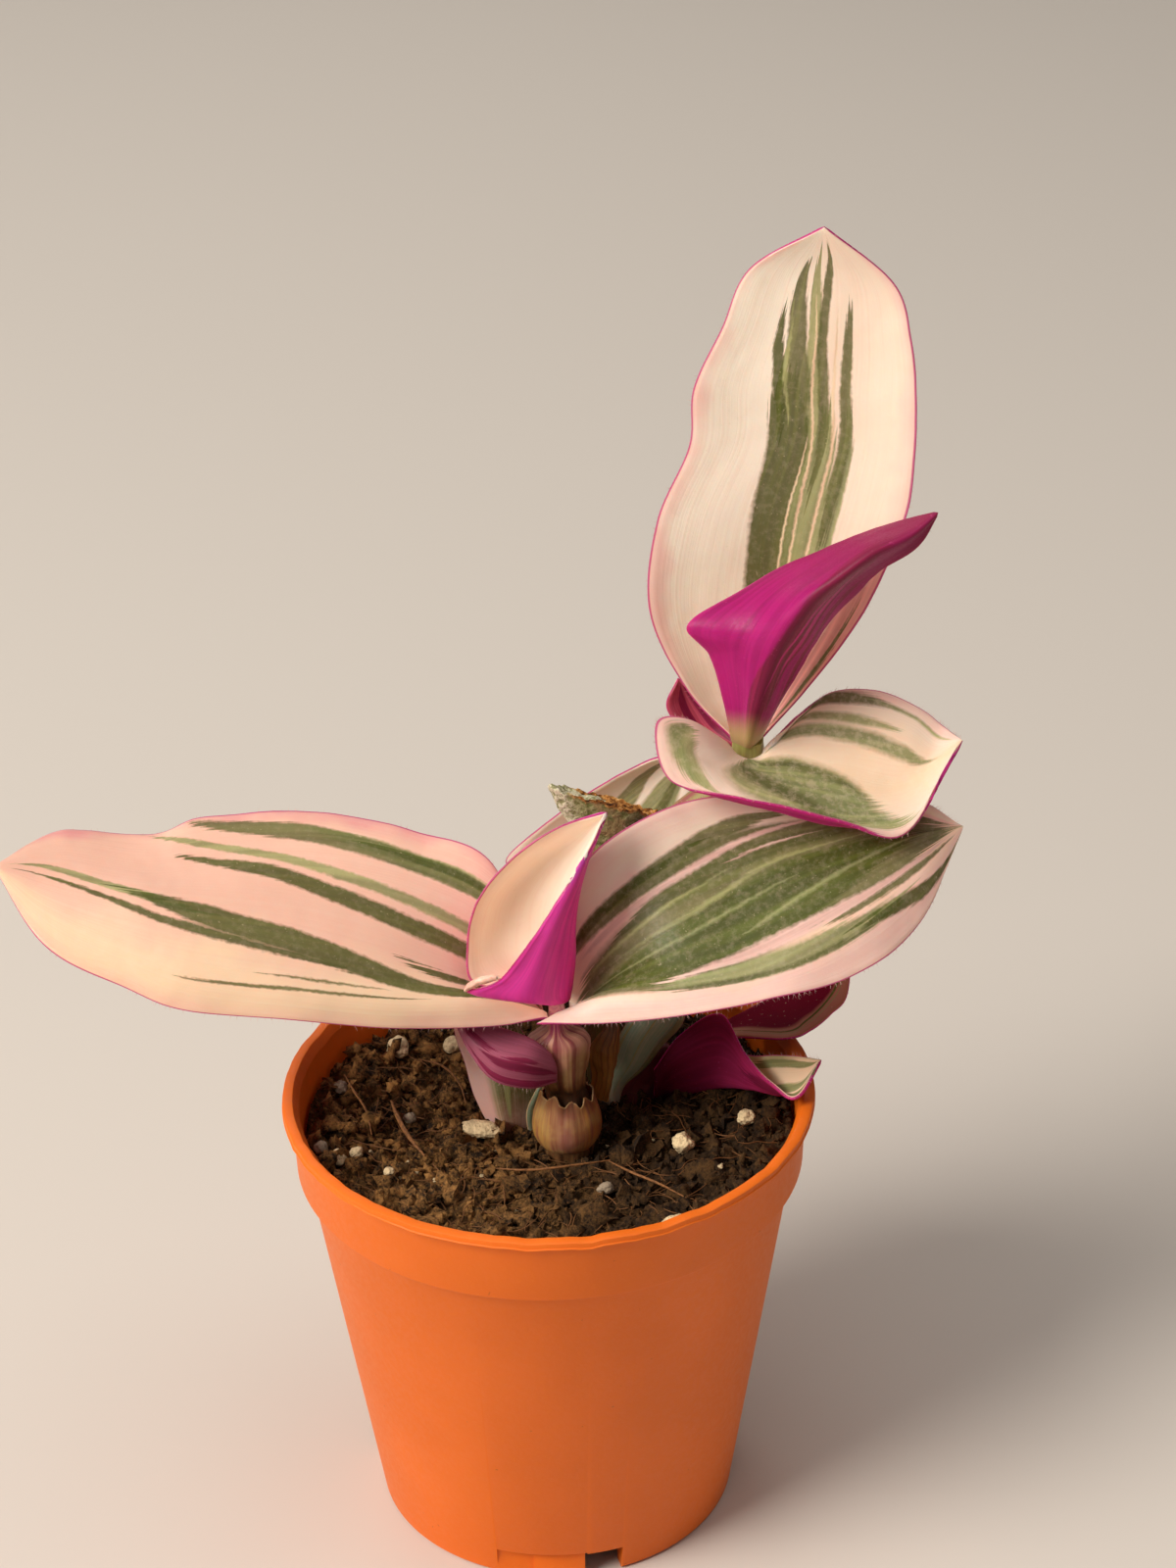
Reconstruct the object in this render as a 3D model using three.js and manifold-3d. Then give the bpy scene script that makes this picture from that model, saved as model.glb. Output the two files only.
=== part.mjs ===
// A young variegated tradescantia in a small plastic nursery pot.
// Millimetres, +Z up. The origin is the middle of the pot's foot, on the ground, and the plant's
// best side looks towards -Y. Leaves are thin solids lofted through rails that run base to tip.
import * as THREE from 'three';
import { mergeVertices } from 'three/addons/utils/BufferGeometryUtils.js';
import Module from 'manifold-3d';

const wasm = await Module();
wasm.setup();

// ---------------------------------------------------------------- driving dimensions
const GAP = 0.3; // clearance between neighbouring pieces
const LEAF_THICKNESS = 0.8;
const ROUND_SIDES = 48;

const POT = {
  height: 54,
  rimRadius: 30,
  rimInner: 28.8,
  lip: 1,
  collarRadius: 29,
  collarFoot: 28.7,
  stepHeight: 45.3,
  shoulderRadius: 27.5,
  footRadius: 20.75,
  wall: 0.9,
  floorTop: 2.5,
  floorUnder: 1.5,
  discRadius: 10,
  ringInner: 19,
  draft: 0.5, // slope of the small steps under the foot
  rimLean: 0.2,
  floorCorner: 0.3,
  edge: 0.4, // small rounding of rim, step and foot
};

const SLOT = { count: 3, firstAngle: -75.2, width: 4.4, height: 3.7, innerReach: 14.5 };

const SOIL = {
  level: 46.8,
  bump: 0.42,
  wallRise: 3,
  wallRiseFrom: 18.5, // radius where the soil starts to rise to the wall
  wallRiseRun: 9,
  frontBankFrom: 12,
  frontBankSlope: 0.04,
  shoulderDrop: 0.4,
  sectors: 36,
  rings: [5, 10, 14, 18, 22, 25.5],
};

const GRAIN_DENT = 0.08; // share of a grain's size that its dents take

// Rows and columns of each leaf's grid, by the leaf's size.
const FINE_GRID = { rowCount: 14, columns: 8 };
const MIDDLE_GRID = { rowCount: 10, columns: 5 };
const SMALL_GRID = { rowCount: 7, columns: 4 };

// ---------------------------------------------------------------- colours and finishes
const finish = (color, roughness) =>
  new THREE.MeshStandardMaterial({ color, roughness, metalness: 0, side: THREE.DoubleSide });

const ORANGE_PLASTIC = finish(0xe2742a, 0.5);
const PEAT = finish(0x3a2417, 0.95);
const PERLITE = finish(0xe6dccb, 0.85);
const STONE_GREY = finish(0x8d8074, 0.9);
const STRAW = finish(0xa5713c, 0.8);
const LEAF_CREAM = finish(0xe9c4ac, 0.45);
const LEAF_GREEN = finish(0x6f7d56, 0.45);
const LEAF_MAGENTA = finish(0xa32779, 0.45);
const LEAF_SILVER = finish(0x7d957f, 0.4);
const STEM_GREEN = finish(0x9c8a5a, 0.55);
const DRIED_BROWN = finish(0x6b4524, 0.8);

// ---------------------------------------------------------------- mesh helpers
const vector = (point) => new THREE.Vector3(...point);

function meshGeometry(positions, triangles) {
  const geometry = new THREE.BufferGeometry();
  geometry.setAttribute('position', new THREE.Float32BufferAttribute(positions, 3));
  geometry.setIndex(triangles);
  return facingOut(geometry);
}

function signedVolume(geometry) {
  const place = geometry.getAttribute('position');
  const index = geometry.getIndex();
  const [a, b, c] = [new THREE.Vector3(), new THREE.Vector3(), new THREE.Vector3()];
  let sum = 0;
  for (let i = 0; i < index.count; i += 3) {
    a.fromBufferAttribute(place, index.getX(i));
    b.fromBufferAttribute(place, index.getX(i + 1));
    c.fromBufferAttribute(place, index.getX(i + 2));
    sum += a.dot(b.cross(c)) / 6;
  }
  return sum;
}

function facingOut(geometry) {
  if (signedVolume(geometry) < 0) {
    const order = geometry.getIndex().array;
    for (let i = 0; i < order.length; i += 3) {
      [order[i + 1], order[i + 2]] = [order[i + 2], order[i + 1]];
    }
  }
  return geometry;
}

// Shared corners joined, and triangles without area dropped, as a boolean needs.
function welded(geometry) {
  const copy = geometry.clone();
  copy.deleteAttribute('normal');
  copy.deleteAttribute('uv');
  const merged = mergeVertices(copy, 1e-4);
  const index = merged.getIndex().array;
  const kept = [];
  for (let i = 0; i < index.length; i += 3) {
    const [a, b, c] = [index[i], index[i + 1], index[i + 2]];
    if (a !== b && b !== c && c !== a) kept.push(a, b, c);
  }
  merged.setIndex(kept);
  return facingOut(merged);
}

function toSolid(geometry) {
  const merged = welded(geometry);
  return new wasm.Manifold(
    new wasm.Mesh({
      numProp: 3,
      vertProperties: new Float32Array(merged.getAttribute('position').array),
      triVerts: new Uint32Array(merged.getIndex().array),
    }),
  );
}

function fromSolid(solid) {
  const mesh = solid.getMesh();
  return meshGeometry(Array.from(mesh.vertProperties), Array.from(mesh.triVerts));
}

function curveThrough(points) {
  const stops = points.map((point) => (point.isVector3 ? point : vector(point)));
  return new THREE.CatmullRomCurve3(stops, false, 'catmullrom', 0.5);
}

// Rows of points from the leaf's base to just before its tip: each row runs across the rails.
function leafRows({ rails, tip }, rowCount, columns) {
  const curves = rails.map((rail) => curveThrough([...rail, tip]));
  const rows = [];
  for (let row = 0; row < rowCount; row += 1) {
    const across = curveThrough(curves.map((curve) => curve.getPoint(row / rowCount)));
    rows.push(across.getPoints(columns));
  }
  return rows;
}

// Margins and base pushed outwards, for the seat that a buried leaf sits in.
function widened(rows, amount) {
  if (!amount) return rows;
  const last = rows[0].length - 1;
  const outward = (from, to) => to.clone().sub(from).setLength(amount);
  for (const row of rows) {
    const first = outward(row[1], row[0]);
    const final = outward(row[last - 1], row[last]);
    row[0].add(first);
    row[last].add(final);
  }
  const lowered = rows[0].map((point, j) => point.clone().add(outward(rows[1][j], point)));
  return [lowered, ...rows.slice(1)];
}

function rowNormals(rows, tip) {
  return rows.map((row, i) =>
    row.map((point, j) => {
      const ahead = i + 1 < rows.length ? rows[i + 1][j] : tip;
      const behind = i > 0 ? rows[i - 1][j] : point;
      const right = row[Math.min(j + 1, row.length - 1)];
      const left = row[Math.max(j - 1, 0)];
      return right.clone().sub(left).cross(ahead.clone().sub(behind)).normalize();
    }),
  );
}

// A closed thin solid: the lofted sheet, offset by half the thickness to each side.
function leaf(shape, { rowCount, columns }, grow = 0) {
  const tip = vector(shape.tip);
  const rows = widened(leafRows(shape, rowCount, columns), grow);
  const normals = rowNormals(rows, tip);
  const half = LEAF_THICKNESS / 2 + grow;
  const width = columns + 1;
  const positions = [];
  for (const side of [half, -half]) {
    rows.forEach((row, i) => {
      row.forEach((point, j) => {
        positions.push(...point.clone().addScaledVector(normals[i][j], side));
      });
    });
    const middle = normals[rows.length - 1][Math.floor(columns / 2)];
    positions.push(...tip.clone().addScaledVector(middle, side));
  }
  const perSide = rows.length * width + 1;
  const at = (side, i, j) => side * perSide + i * width + j;
  const apex = (side) => side * perSide + perSide - 1;
  const triangles = [];
  const last = rows.length - 1;
  for (let j = 0; j < columns; j += 1) {
    for (let i = 0; i < last; i += 1) {
      const [a, b, c, d] = [at(0, i, j), at(0, i, j + 1), at(0, i + 1, j + 1), at(0, i + 1, j)];
      triangles.push(a, b, c, a, c, d);
      const [e, f, g, h] = [a, b, c, d].map((corner) => corner + perSide);
      triangles.push(e, g, f, e, h, g);
    }
    triangles.push(at(0, last, j), at(0, last, j + 1), apex(0));
    triangles.push(at(1, last, j + 1), at(1, last, j), apex(1));
    triangles.push(at(0, 0, j + 1), at(0, 0, j), at(1, 0, j));
    triangles.push(at(0, 0, j + 1), at(1, 0, j), at(1, 0, j + 1));
  }
  const wallBetween = (a, b, aUnder, bUnder) => triangles.push(a, b, bUnder, a, bUnder, aUnder);
  for (let i = 0; i < last; i += 1) {
    wallBetween(at(0, i, 0), at(0, i + 1, 0), at(1, i, 0), at(1, i + 1, 0));
    wallBetween(at(0, i + 1, columns), at(0, i, columns), at(1, i + 1, columns), at(1, i, columns));
  }
  wallBetween(at(0, last, 0), apex(0), at(1, last, 0), apex(1));
  wallBetween(apex(0), at(0, last, columns), apex(1), at(1, last, columns));
  return meshGeometry(positions, triangles);
}

// A solid stem through stations [x, y, z, radius across X, radius across Y], with flat ends.
function stem(stations, grow = 0) {
  const [steps, sides] = [12, 12];
  const axis = curveThrough(stations.map(([x, y, z]) => [x, y, z]));
  const radii = curveThrough(stations.map(([, , , across, deep]) => [across, deep ?? across, 0]));
  const positions = [];
  const triangles = [];
  const sideways = new THREE.Vector3(1, 0, 0);
  for (let step = 0; step <= steps; step += 1) {
    const t = step / steps;
    const centre = axis.getPoint(t);
    const forward = axis.getTangent(t);
    const across = sideways.clone().addScaledVector(forward, -sideways.dot(forward)).normalize();
    const deep = forward.clone().cross(across);
    const radius = radii.getPoint(t);
    if (grow && step === 0) centre.addScaledVector(forward, -grow);
    for (let side = 0; side < sides; side += 1) {
      const angle = (side / sides) * Math.PI * 2;
      const point = centre
        .clone()
        .addScaledVector(across, Math.cos(angle) * (radius.x + grow))
        .addScaledVector(deep, Math.sin(angle) * (radius.y + grow));
      positions.push(...point);
    }
  }
  for (let step = 0; step < steps; step += 1) {
    for (let side = 0; side < sides; side += 1) {
      const next = (side + 1) % sides;
      const [a, b] = [step * sides + side, step * sides + next];
      triangles.push(a, b, b + sides, a, b + sides, a + sides);
    }
  }
  const top = steps * sides;
  for (let side = 1; side < sides - 1; side += 1) {
    triangles.push(0, side + 1, side, top, top + side, top + side + 1);
  }
  return meshGeometry(positions, triangles);
}

// A worn grain: a faceted ball stretched to its size, with shallow dents.
function grain({ at, size, turn = 0 }, grow = 0) {
  const ball = new THREE.IcosahedronGeometry(1, 1);
  const place = ball.getAttribute('position');
  for (let i = 0; i < place.count; i += 1) {
    const point = new THREE.Vector3().fromBufferAttribute(place, i);
    const dent = 1 - GRAIN_DENT * (1 + Math.sin(5 * point.x + 3 * point.y + 4 * point.z + turn));
    const reach = size.map((across) => (across / 2) * dent + grow);
    place.setXYZ(i, point.x * reach[0], point.y * reach[1], point.z * reach[2]);
  }
  ball.rotateZ(turn);
  ball.translate(...at);
  return welded(ball);
}

// ---------------------------------------------------------------- pot
function potBody() {
  const { height, rimRadius, rimInner, lip, collarRadius, collarFoot, stepHeight } = POT;
  const { shoulderRadius, footRadius, wall, floorTop, floorUnder, discRadius, ringInner } = POT;
  const { draft, rimLean, floorCorner, edge } = POT;
  const profile = [
    [0, 0],
    [discRadius, 0],
    [discRadius + draft, floorUnder],
    [ringInner - draft, floorUnder],
    [ringInner, 0],
    [footRadius - edge, 0],
    [footRadius, edge],
    [shoulderRadius, stepHeight - edge],
    [collarFoot, stepHeight + edge],
    [collarRadius, height - lip],
    [rimRadius - rimLean, height - lip],
    [rimRadius, height - edge],
    [rimRadius - edge, height],
    [rimInner, height],
    [collarRadius - wall, height - lip],
    [collarFoot - wall, stepHeight + wall],
    [shoulderRadius - wall, stepHeight - wall],
    [footRadius - wall + floorCorner, floorTop],
    [0, floorTop],
  ].map(([radius, z]) => new THREE.Vector2(radius, z));
  const turned = new THREE.LatheGeometry(profile, ROUND_SIDES);
  turned.rotateX(Math.PI / 2);
  let body = toSolid(turned);
  const [outside, below] = [2, 1]; // how far each slot's cutter stands out of the foot
  const reach = footRadius + outside - SLOT.innerReach;
  for (let k = 0; k < SLOT.count; k += 1) {
    const cutter = new THREE.BoxGeometry(reach, SLOT.width, SLOT.height + below);
    cutter.translate(SLOT.innerReach + reach / 2, 0, (SLOT.height - below) / 2);
    cutter.rotateZ(THREE.MathUtils.degToRad(SLOT.firstAngle + (k * 360) / SLOT.count));
    body = body.subtract(toSolid(cutter));
  }
  return fromSolid(body);
}

// ---------------------------------------------------------------- plant: rails from base to tip
const LEAVES = {
  left_leaf: {
    tip: [-59, -3.2, 85.4],
    rails: [
      [
        [-2, 3, 68], [-6, 9, 78], [-15, 12, 80.5], [-25.5, 13, 82.5],
        [-37.5, 10.5, 83.5], [-43, 8, 82.8], [-53, 5.6, 84.7],
      ],
      [
        [-1, 1.5, 66.5], [-5.5, 4.5, 73.5], [-15, 6, 78], [-26.5, 6, 80.5],
        [-37.5, 4, 81.5], [-43.5, 1.8, 82.2], [-52.7, 1.1, 84.4],
      ],
      [
        [-0.2, -0.5, 63], [-5.5, -1, 68], [-16, -2.5, 74], [-27, -3, 78],
        [-37.5, -4, 80.5], [-43.5, -4.6, 81.7], [-52.5, -3.7, 83.4],
      ],
      [
        [0, -3, 65.5], [-5.5, -5, 68.5], [-16.5, -8, 71], [-27.5, -10, 74],
        [-37.5, -11, 76.5], [-43.5, -10.2, 78.4], [-52.6, -7.7, 81.5],
      ],
      [
        [0.2, -5.2, 66.3], [-6, -6.8, 66.3], [-16.5, -9.5, 68], [-28, -12, 71],
        [-38.5, -13, 73], [-44.5, -12.4, 75.5], [-53, -10.4, 79.6],
      ],
    ],
  },
  right_leaf: {
    tip: [46.5, 8, 82],
    rails: [
      [[2.5, 3, 70.5], [3.5, 3, 79], [8, 4, 84], [16.5, 7, 86.5], [26.5, 8.5, 86], [40, 9.2, 85.3]],
      [[2.5, 2, 67.5], [5, 2, 74], [11, 2.5, 80], [19, 4.8, 82.5], [28, 7, 83], [38.5, 8.2, 84]],
      [[2.5, -1, 63], [6.5, -1.5, 68.5], [13.5, -2, 74.5], [21.5, 0, 77.5], [30, 2.5, 80.5], [39, 5.5, 82]],
      [
        [1.4, -4.5, 66.3], [6.5, -6, 69.5], [14.5, -7.5, 71], [23.5, -6.5, 72.5],
        [32, -3.5, 75.5], [40.5, 2, 79],
      ],
      [
        [-1, -7.8, 67.2], [6.5, -8, 67.2], [15, -9.5, 69], [24, -9, 70.5],
        [33.5, -6, 71.5], [41, -0.5, 74.5],
      ],
    ],
  },
  centre_leaf: {
    tip: [7, 1, 88.5],
    rails: [
      [
        [-4.5, -4.8, 70], [-8, -5.5, 71.3], [-8.5, -3.5, 74.2], [-7.5, -1.5, 78.5],
        [-4, -0.5, 83], [1, 0, 87],
      ],
      [
        [-2.5, -1.5, 69], [-4.5, -0.5, 71.3], [-4.5, 1.5, 74], [-3.5, 2.7, 77.3],
        [-0.5, 3, 81], [3.5, 2, 85],
      ],
      [[2.3, -1.8, 66.8], [2.7, -1.5, 68.8], [3, 0, 71.5], [3, 0.5, 76], [4, 1, 81], [5.5, 1, 85]],
      [[1, -5.2, 68], [-0.5, -7, 70], [0.5, -7, 74.5], [2, -6, 79.5], [4, -4, 84], [5.5, -1.5, 86.5]],
      [[-3.8, -6, 69.6], [-8.5, -6.8, 70.8], [-5, -8, 73], [-1.5, -8, 77.5], [2, -6, 82.5], [5, -3, 86]],
    ],
  },
  tall_leaf: {
    tip: [30.7, 19, 148],
    rails: [
      [
        [21.5, 14.8, 89.5], [16, 16.5, 95.5], [12.1, 18, 104.5], [13.1, 20, 114.2],
        [16.6, 21.2, 122.4], [17.1, 21.6, 129], [20.1, 21.8, 135.7], [23.1, 21.6, 142.6],
      ],
      [
        [22.2, 15.8, 89.2], [19, 18, 94.7], [17.5, 19.6, 104.5], [19.1, 20.6, 114.3],
        [22.6, 21.4, 122.9], [23.1, 21.6, 129.3], [25.1, 21.8, 136], [27.1, 21.4, 142.6],
      ],
      [
        [23, 16.2, 89.2], [23, 18.8, 94.3], [24.5, 20, 104], [26, 20.4, 114],
        [28.5, 20.8, 123.1], [29, 20.8, 129.6], [30, 20.9, 136], [30.5, 20.9, 142.5],
      ],
      [
        [23.8, 16, 89.2], [26.5, 17.2, 94.9], [30.5, 18, 105.8], [33, 18.4, 114.3],
        [35, 18.8, 123.4], [35.2, 19.2, 129.4], [35.3, 19.7, 135.4], [34.5, 19.8, 141.9],
      ],
      [
        [24.4, 15.2, 89.5], [29.5, 14.5, 96.2], [35.6, 14.2, 105.9], [39.6, 14.6, 116],
        [40.6, 15.4, 123.6], [40.6, 16.3, 129.7], [40.1, 17.6, 135.8], [38.1, 18.6, 141.8],
      ],
    ],
  },
  young_leaf: {
    tip: [42.5, 8.2, 120],
    rails: [
      [
        [21, 12.5, 90.8], [20, 11.5, 96.5], [18.5, 11, 102.5], [16, 10.5, 106],
        [20.5, 12.5, 108.5], [26.5, 13.5, 111.5], [33.5, 12.5, 115], [39, 10.5, 118],
      ],
      [
        [22, 11.5, 90.8], [22, 10, 97], [21.5, 9, 103], [22, 8.5, 106],
        [25, 9.5, 109.5], [29, 10, 112.5], [34.5, 9.5, 116], [39, 9, 118],
      ],
      [
        [22.8, 11.2, 90.6], [23.5, 8.5, 97.5], [25, 7, 103.5], [26.5, 6, 107.5],
        [29, 5.5, 111.5], [32, 5.5, 114], [35.5, 6, 116.5], [39.5, 7, 118],
      ],
      [
        [23.6, 12, 90.6], [25, 10, 96], [26.5, 9, 101.5], [28.5, 8.5, 105],
        [30.5, 8, 109], [33, 8, 112], [36.5, 8, 114.5], [40, 8, 117],
      ],
      [
        [24.2, 13, 90.8], [26, 12, 95.5], [28.5, 11, 100.5], [30, 11, 103.5],
        [32, 10.5, 107], [34.5, 10, 110], [36.5, 9, 113], [40.5, 8.5, 116],
      ],
    ],
  },
  crown_leaf: {
    tip: [46.5, 11.7, 90.8],
    rails: [
      [
        [24.6, 12.1, 89.8], [26.2, 12.5, 91.6], [28.9, 14.4, 93.1], [32.4, 16.8, 94.5],
        [37.5, 17, 94.5], [42, 15.5, 93], [44.5, 14, 91.5],
      ],
      [
        [24.2, 11.3, 89.4], [25.2, 11.5, 90.1], [26.8, 13, 91.2], [30, 14, 92],
        [35.5, 14, 91.8], [40.5, 13, 91], [43.5, 12, 89.5],
      ],
      [
        [22.8, 10.3, 89.6], [23.3, 9.5, 89.4], [24.3, 9, 89.1], [27, 9.5, 88.8],
        [33, 9.5, 88], [38.5, 9, 87], [42.5, 10, 88],
      ],
      [
        [21.5, 10.5, 90.2], [19.9, 8.2, 91], [18.5, 6, 91], [21, 4, 89],
        [27.5, 3, 87], [33.5, 3, 85.5], [40.5, 5, 85.5],
      ],
      [
        [20.6, 10.9, 91.3], [16, 9, 95.5], [12.5, 7, 96], [14, 4, 90.5],
        [22, 1.5, 89.5], [31.5, 0.5, 87.5], [39.5, 2, 84.5],
      ],
    ],
  },
  crown_back_leaf: {
    tip: [15.3, 19.8, 95],
    rails: [
      [[20.6, 16, 88.2], [16.5, 17.5, 89], [14, 18.5, 92]],
      [[21.4, 16.8, 87.8], [18.5, 19, 89], [16.5, 20, 92]],
      [[22.2, 17, 88], [20.5, 18.7, 90.5], [18.5, 19.4, 93]],
    ],
  },
  back_leaf: {
    tip: [16.3, 20.5, 85],
    rails: [
      [[5, 14, 72.8], [-1.5, 15, 73.5], [-4.5, 16, 74], [-0.5, 17.5, 77.5], [6.5, 19, 82], [12, 20, 84.5]],
      [[6, 14.4, 72.5], [4, 16, 73.5], [4, 18, 75], [6.5, 19.5, 77.5], [10.5, 20.5, 80.5], [14, 21, 83]],
      [
        [7, 14.2, 72.8], [9.5, 15.5, 73], [11.5, 17, 74], [14, 18.5, 76],
        [16, 19.5, 78.5], [17, 20.5, 81.5],
      ],
    ],
  },
  lower_purple_leaf: {
    tip: [-11, 1, 66],
    rails: [
      [[1, -4.7, 57.5], [-2, -6.5, 58], [-6, -7, 59.5], [-8.5, -5.5, 62], [-10.5, -2, 65]],
      [[1, -4.8, 59.5], [-2, -6.5, 61.5], [-5.5, -6.5, 62.5], [-8.5, -4.5, 64], [-10, -1.5, 65]],
      [[0.5, -4.4, 61], [-1.5, -4.5, 63], [-5, -3.5, 64], [-8, -2, 64.5], [-10, 0, 65.2]],
    ],
  },
  lower_pale_leaf: {
    tip: [-9, 8, 63],
    rails: [
      [[-6, 2.5, 44.5], [-8.5, 3, 50.5], [-9.5, 4, 54.5], [-10.5, 5, 58], [-10.5, 6, 61]],
      [[-4.5, 1.8, 44.5], [-5.5, 2, 51], [-6, 3, 54.5], [-6.5, 4, 58], [-7.5, 5.5, 61.5]],
      [[-3, 2.3, 44.5], [-1.5, 3, 50], [-1.5, 3.5, 54], [-2.5, 4.5, 57.5], [-5, 6, 61]],
    ],
  },
  side_blade: {
    tip: [0.4, 2, 55],
    rails: [
      [[-2, 1, 44.5], [-2.6, 1, 49], [-1.5, 1.4, 52]],
      [[-1, 1.8, 44.5], [-1.2, 2, 49], [-0.6, 2, 52]],
      [[0, 2.2, 44.5], [0.2, 2.6, 49], [0.4, 2.4, 52]],
    ],
  },
  silver_leaf: {
    tip: [16, 10, 62],
    rails: [
      [[6, 6.9, 44.5], [6, 7, 48.5], [7, 7, 51.5], [8, 7, 55.5], [10, 7.5, 58.5]],
      [[6.8, 6.4, 44.5], [7.5, 6, 49.5], [9, 6, 52.5], [10.5, 6, 56], [12.5, 7, 58.5]],
      [[7.6, 7, 44.5], [8.5, 7.6, 48.5], [11, 8, 51], [13, 8.5, 53.5], [15.5, 9, 56.5]],
    ],
  },
  edge_leaf: {
    tip: [30.6, -1, 57.4],
    rails: [
      [[12.2, 11.2, 48.4], [16, 11, 50.5], [20, 9, 53], [23, 4.5, 54.6], [25.5, 1.5, 56.5], [28, 0, 57.3]],
      [
        [12.1, 10.3, 46.9], [15.5, 10, 47.3], [20, 7.5, 50], [23.5, 3, 52.5],
        [26, 0, 54.6], [28.5, -1.5, 55.8],
      ],
      [[12, 8.2, 46.4], [14.5, 8, 47], [19.5, 6, 49.5], [23, 1.5, 52], [26, -2, 53.6], [28.2, -3.8, 55.4]],
      [[12, 6, 49], [14.5, 5.5, 53], [19.5, 4, 56], [22.5, 0.5, 55], [25.5, -3, 54.8], [27.8, -4.8, 55.1]],
      [[12, 5.8, 52], [15, 6, 56.5], [19.5, 4.5, 60.3], [22, 1.5, 57], [25, -3, 55.6], [27.5, -5.5, 55.3]],
    ],
  },
  edge_back_leaf: {
    tip: [35.3, 17.5, 61],
    rails: [
      [
        [14, 8, 51], [17.5, 7.8, 52.8], [20.8, 7.7, 55], [27, 4.8, 56.4],
        [30, 6, 56.8], [32.5, 9.5, 56.8], [34.5, 12.5, 57.4],
      ],
      [
        [14, 8.6, 50.5], [17.5, 9, 52], [20.8, 9.6, 54.7], [27, 8.4, 55.6],
        [29.5, 10, 56.3], [32, 13, 57], [33.5, 15.5, 58.2],
      ],
      [
        [14, 9.2, 51], [17.5, 10, 52.8], [20.8, 11.4, 55], [26, 14.5, 56],
        [29, 16.5, 57.2], [31, 18, 58.5], [33, 18.5, 60],
      ],
    ],
  },
  dried_sheath: {
    tip: [8, 2.5, 62],
    rails: [
      [[4.8, 1.9, 51.2], [5, 1.6, 54.5], [4.6, 1.2, 58]],
      [[5.8, 1.1, 51.2], [6.4, 1, 54.5], [6.6, 1, 58]],
      [[6.6, 0.2, 51.2], [7.4, 1.4, 54.5], [8, 2, 58]],
    ],
  },
};

// Stations up each stem: [x, y, z, radius across X, radius across Y].
const STEMS = {
  front_stem: [
    [2.1, -1.9, 43.5, 2.4],
    [2, -1.9, 46.5, 3.2],
    [2, -1.8, 49.5, 3.7],
    [2, -1.8, 52.2, 3.5],
    [1.9, -1.8, 54.8, 3.1],
    [1.6, -1.7, 57, 2.4],
    [1.5, -1.5, 59.5, 2.8, 2.4],
    [1.4, -1.3, 61, 3.1, 2.6],
    [1.1, -1.4, 62.4, 0.9, 2.2],
    [1.1, -1.4, 65.2, 0.75, 2.4],
  ],
  main_stem: [
    [7, 11.5, 42, 2.4],
    [6.8, 11.3, 52, 2.5],
    [6.4, 11, 64, 2.5],
    [6, 10.6, 73, 2.9],
    [6.2, 10.2, 77, 2.6],
    [6.8, 9.8, 81, 4, 2.8],
    [7.2, 9.5, 85, 5.6, 3.2],
  ],
  upper_shoot: [
    [10.2, 11.1, 75.4, 1.9],
    [14, 12.4, 79.5, 2],
    [19.5, 13.4, 84, 2],
    [22.5, 13.6, 87.2, 2],
    [22.9, 13, 90, 1.5],
  ],
  low_shoot: [
    [9.6, 7.2, 43, 1.2],
    [10.2, 7.9, 47.2, 1.2],
    [13.2, 8.4, 50, 1],
  ],
};

// Grains on the soil: middle, size along X, Y and Z, and turn about Z.
const PERLITES = [
  { at: [-23.6, -7, 49.2], size: [2.1, 2, 1.8], turn: 0.4 },
  { at: [-21.7, -4.5, 48.1], size: [1.6, 1.5, 1.4], turn: 1.1 },
  { at: [-17.8, 15.5, 49.1], size: [3, 2.6, 2.4], turn: 2 },
  { at: [-11.5, 16.7, 48.5], size: [2.3, 2.2, 2], turn: 0.9 },
  { at: [-7.9, 0.8, 47.2], size: [5, 2.4, 1.8], turn: -0.35 },
  { at: [15, -3.2, 47.4], size: [2.6, 2.4, 2.3], turn: 1.5 },
  { at: [22.3, -0.1, 48.8], size: [2.1, 1.8, 1.7], turn: 0.2 },
  { at: [13.4, -22.6, 50.6], size: [3.2, 1.8, 1.8], turn: 0.5 },
  { at: [-17.9, -7.8, 47.5], size: [1.2, 1.2, 1.1], turn: 2.6 },
];
const STONES = [
  { at: [-25.4, -6.4, 50.2], size: [1.7, 1.7, 1.4], turn: 0.7 },
  { at: [-24, 7.1, 49.2], size: [1.7, 1.6, 1.4], turn: 1.9 },
  { at: [-16, 3.4, 47.2], size: [1.3, 1.4, 1.1], turn: 2.2 },
  { at: [6.2, -11.2, 47.2], size: [1.9, 1.5, 1.4], turn: 0.3 },
];

const FIBRE = {
  thickness: 0.5,
  route: [[-18.2, 6.1, 47.9], [-17.4, 2.6, 47.9], [-15.9, -1.6, 47.7], [-14, -4.6, 47.3]],
};

const SMALL_LEAVES = ['crown_back_leaf', 'side_blade', 'dried_sheath', 'lower_purple_leaf'];
const MIDDLE_LEAVES = ['back_leaf', 'lower_pale_leaf', 'silver_leaf', 'edge_back_leaf'];

// ---------------------------------------------------------------- soil
const BURIED_LEAVES = ['lower_pale_leaf', 'side_blade', 'silver_leaf', 'edge_leaf'];
const BURIED_STEMS = ['front_stem', 'main_stem', 'low_shoot'];

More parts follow.
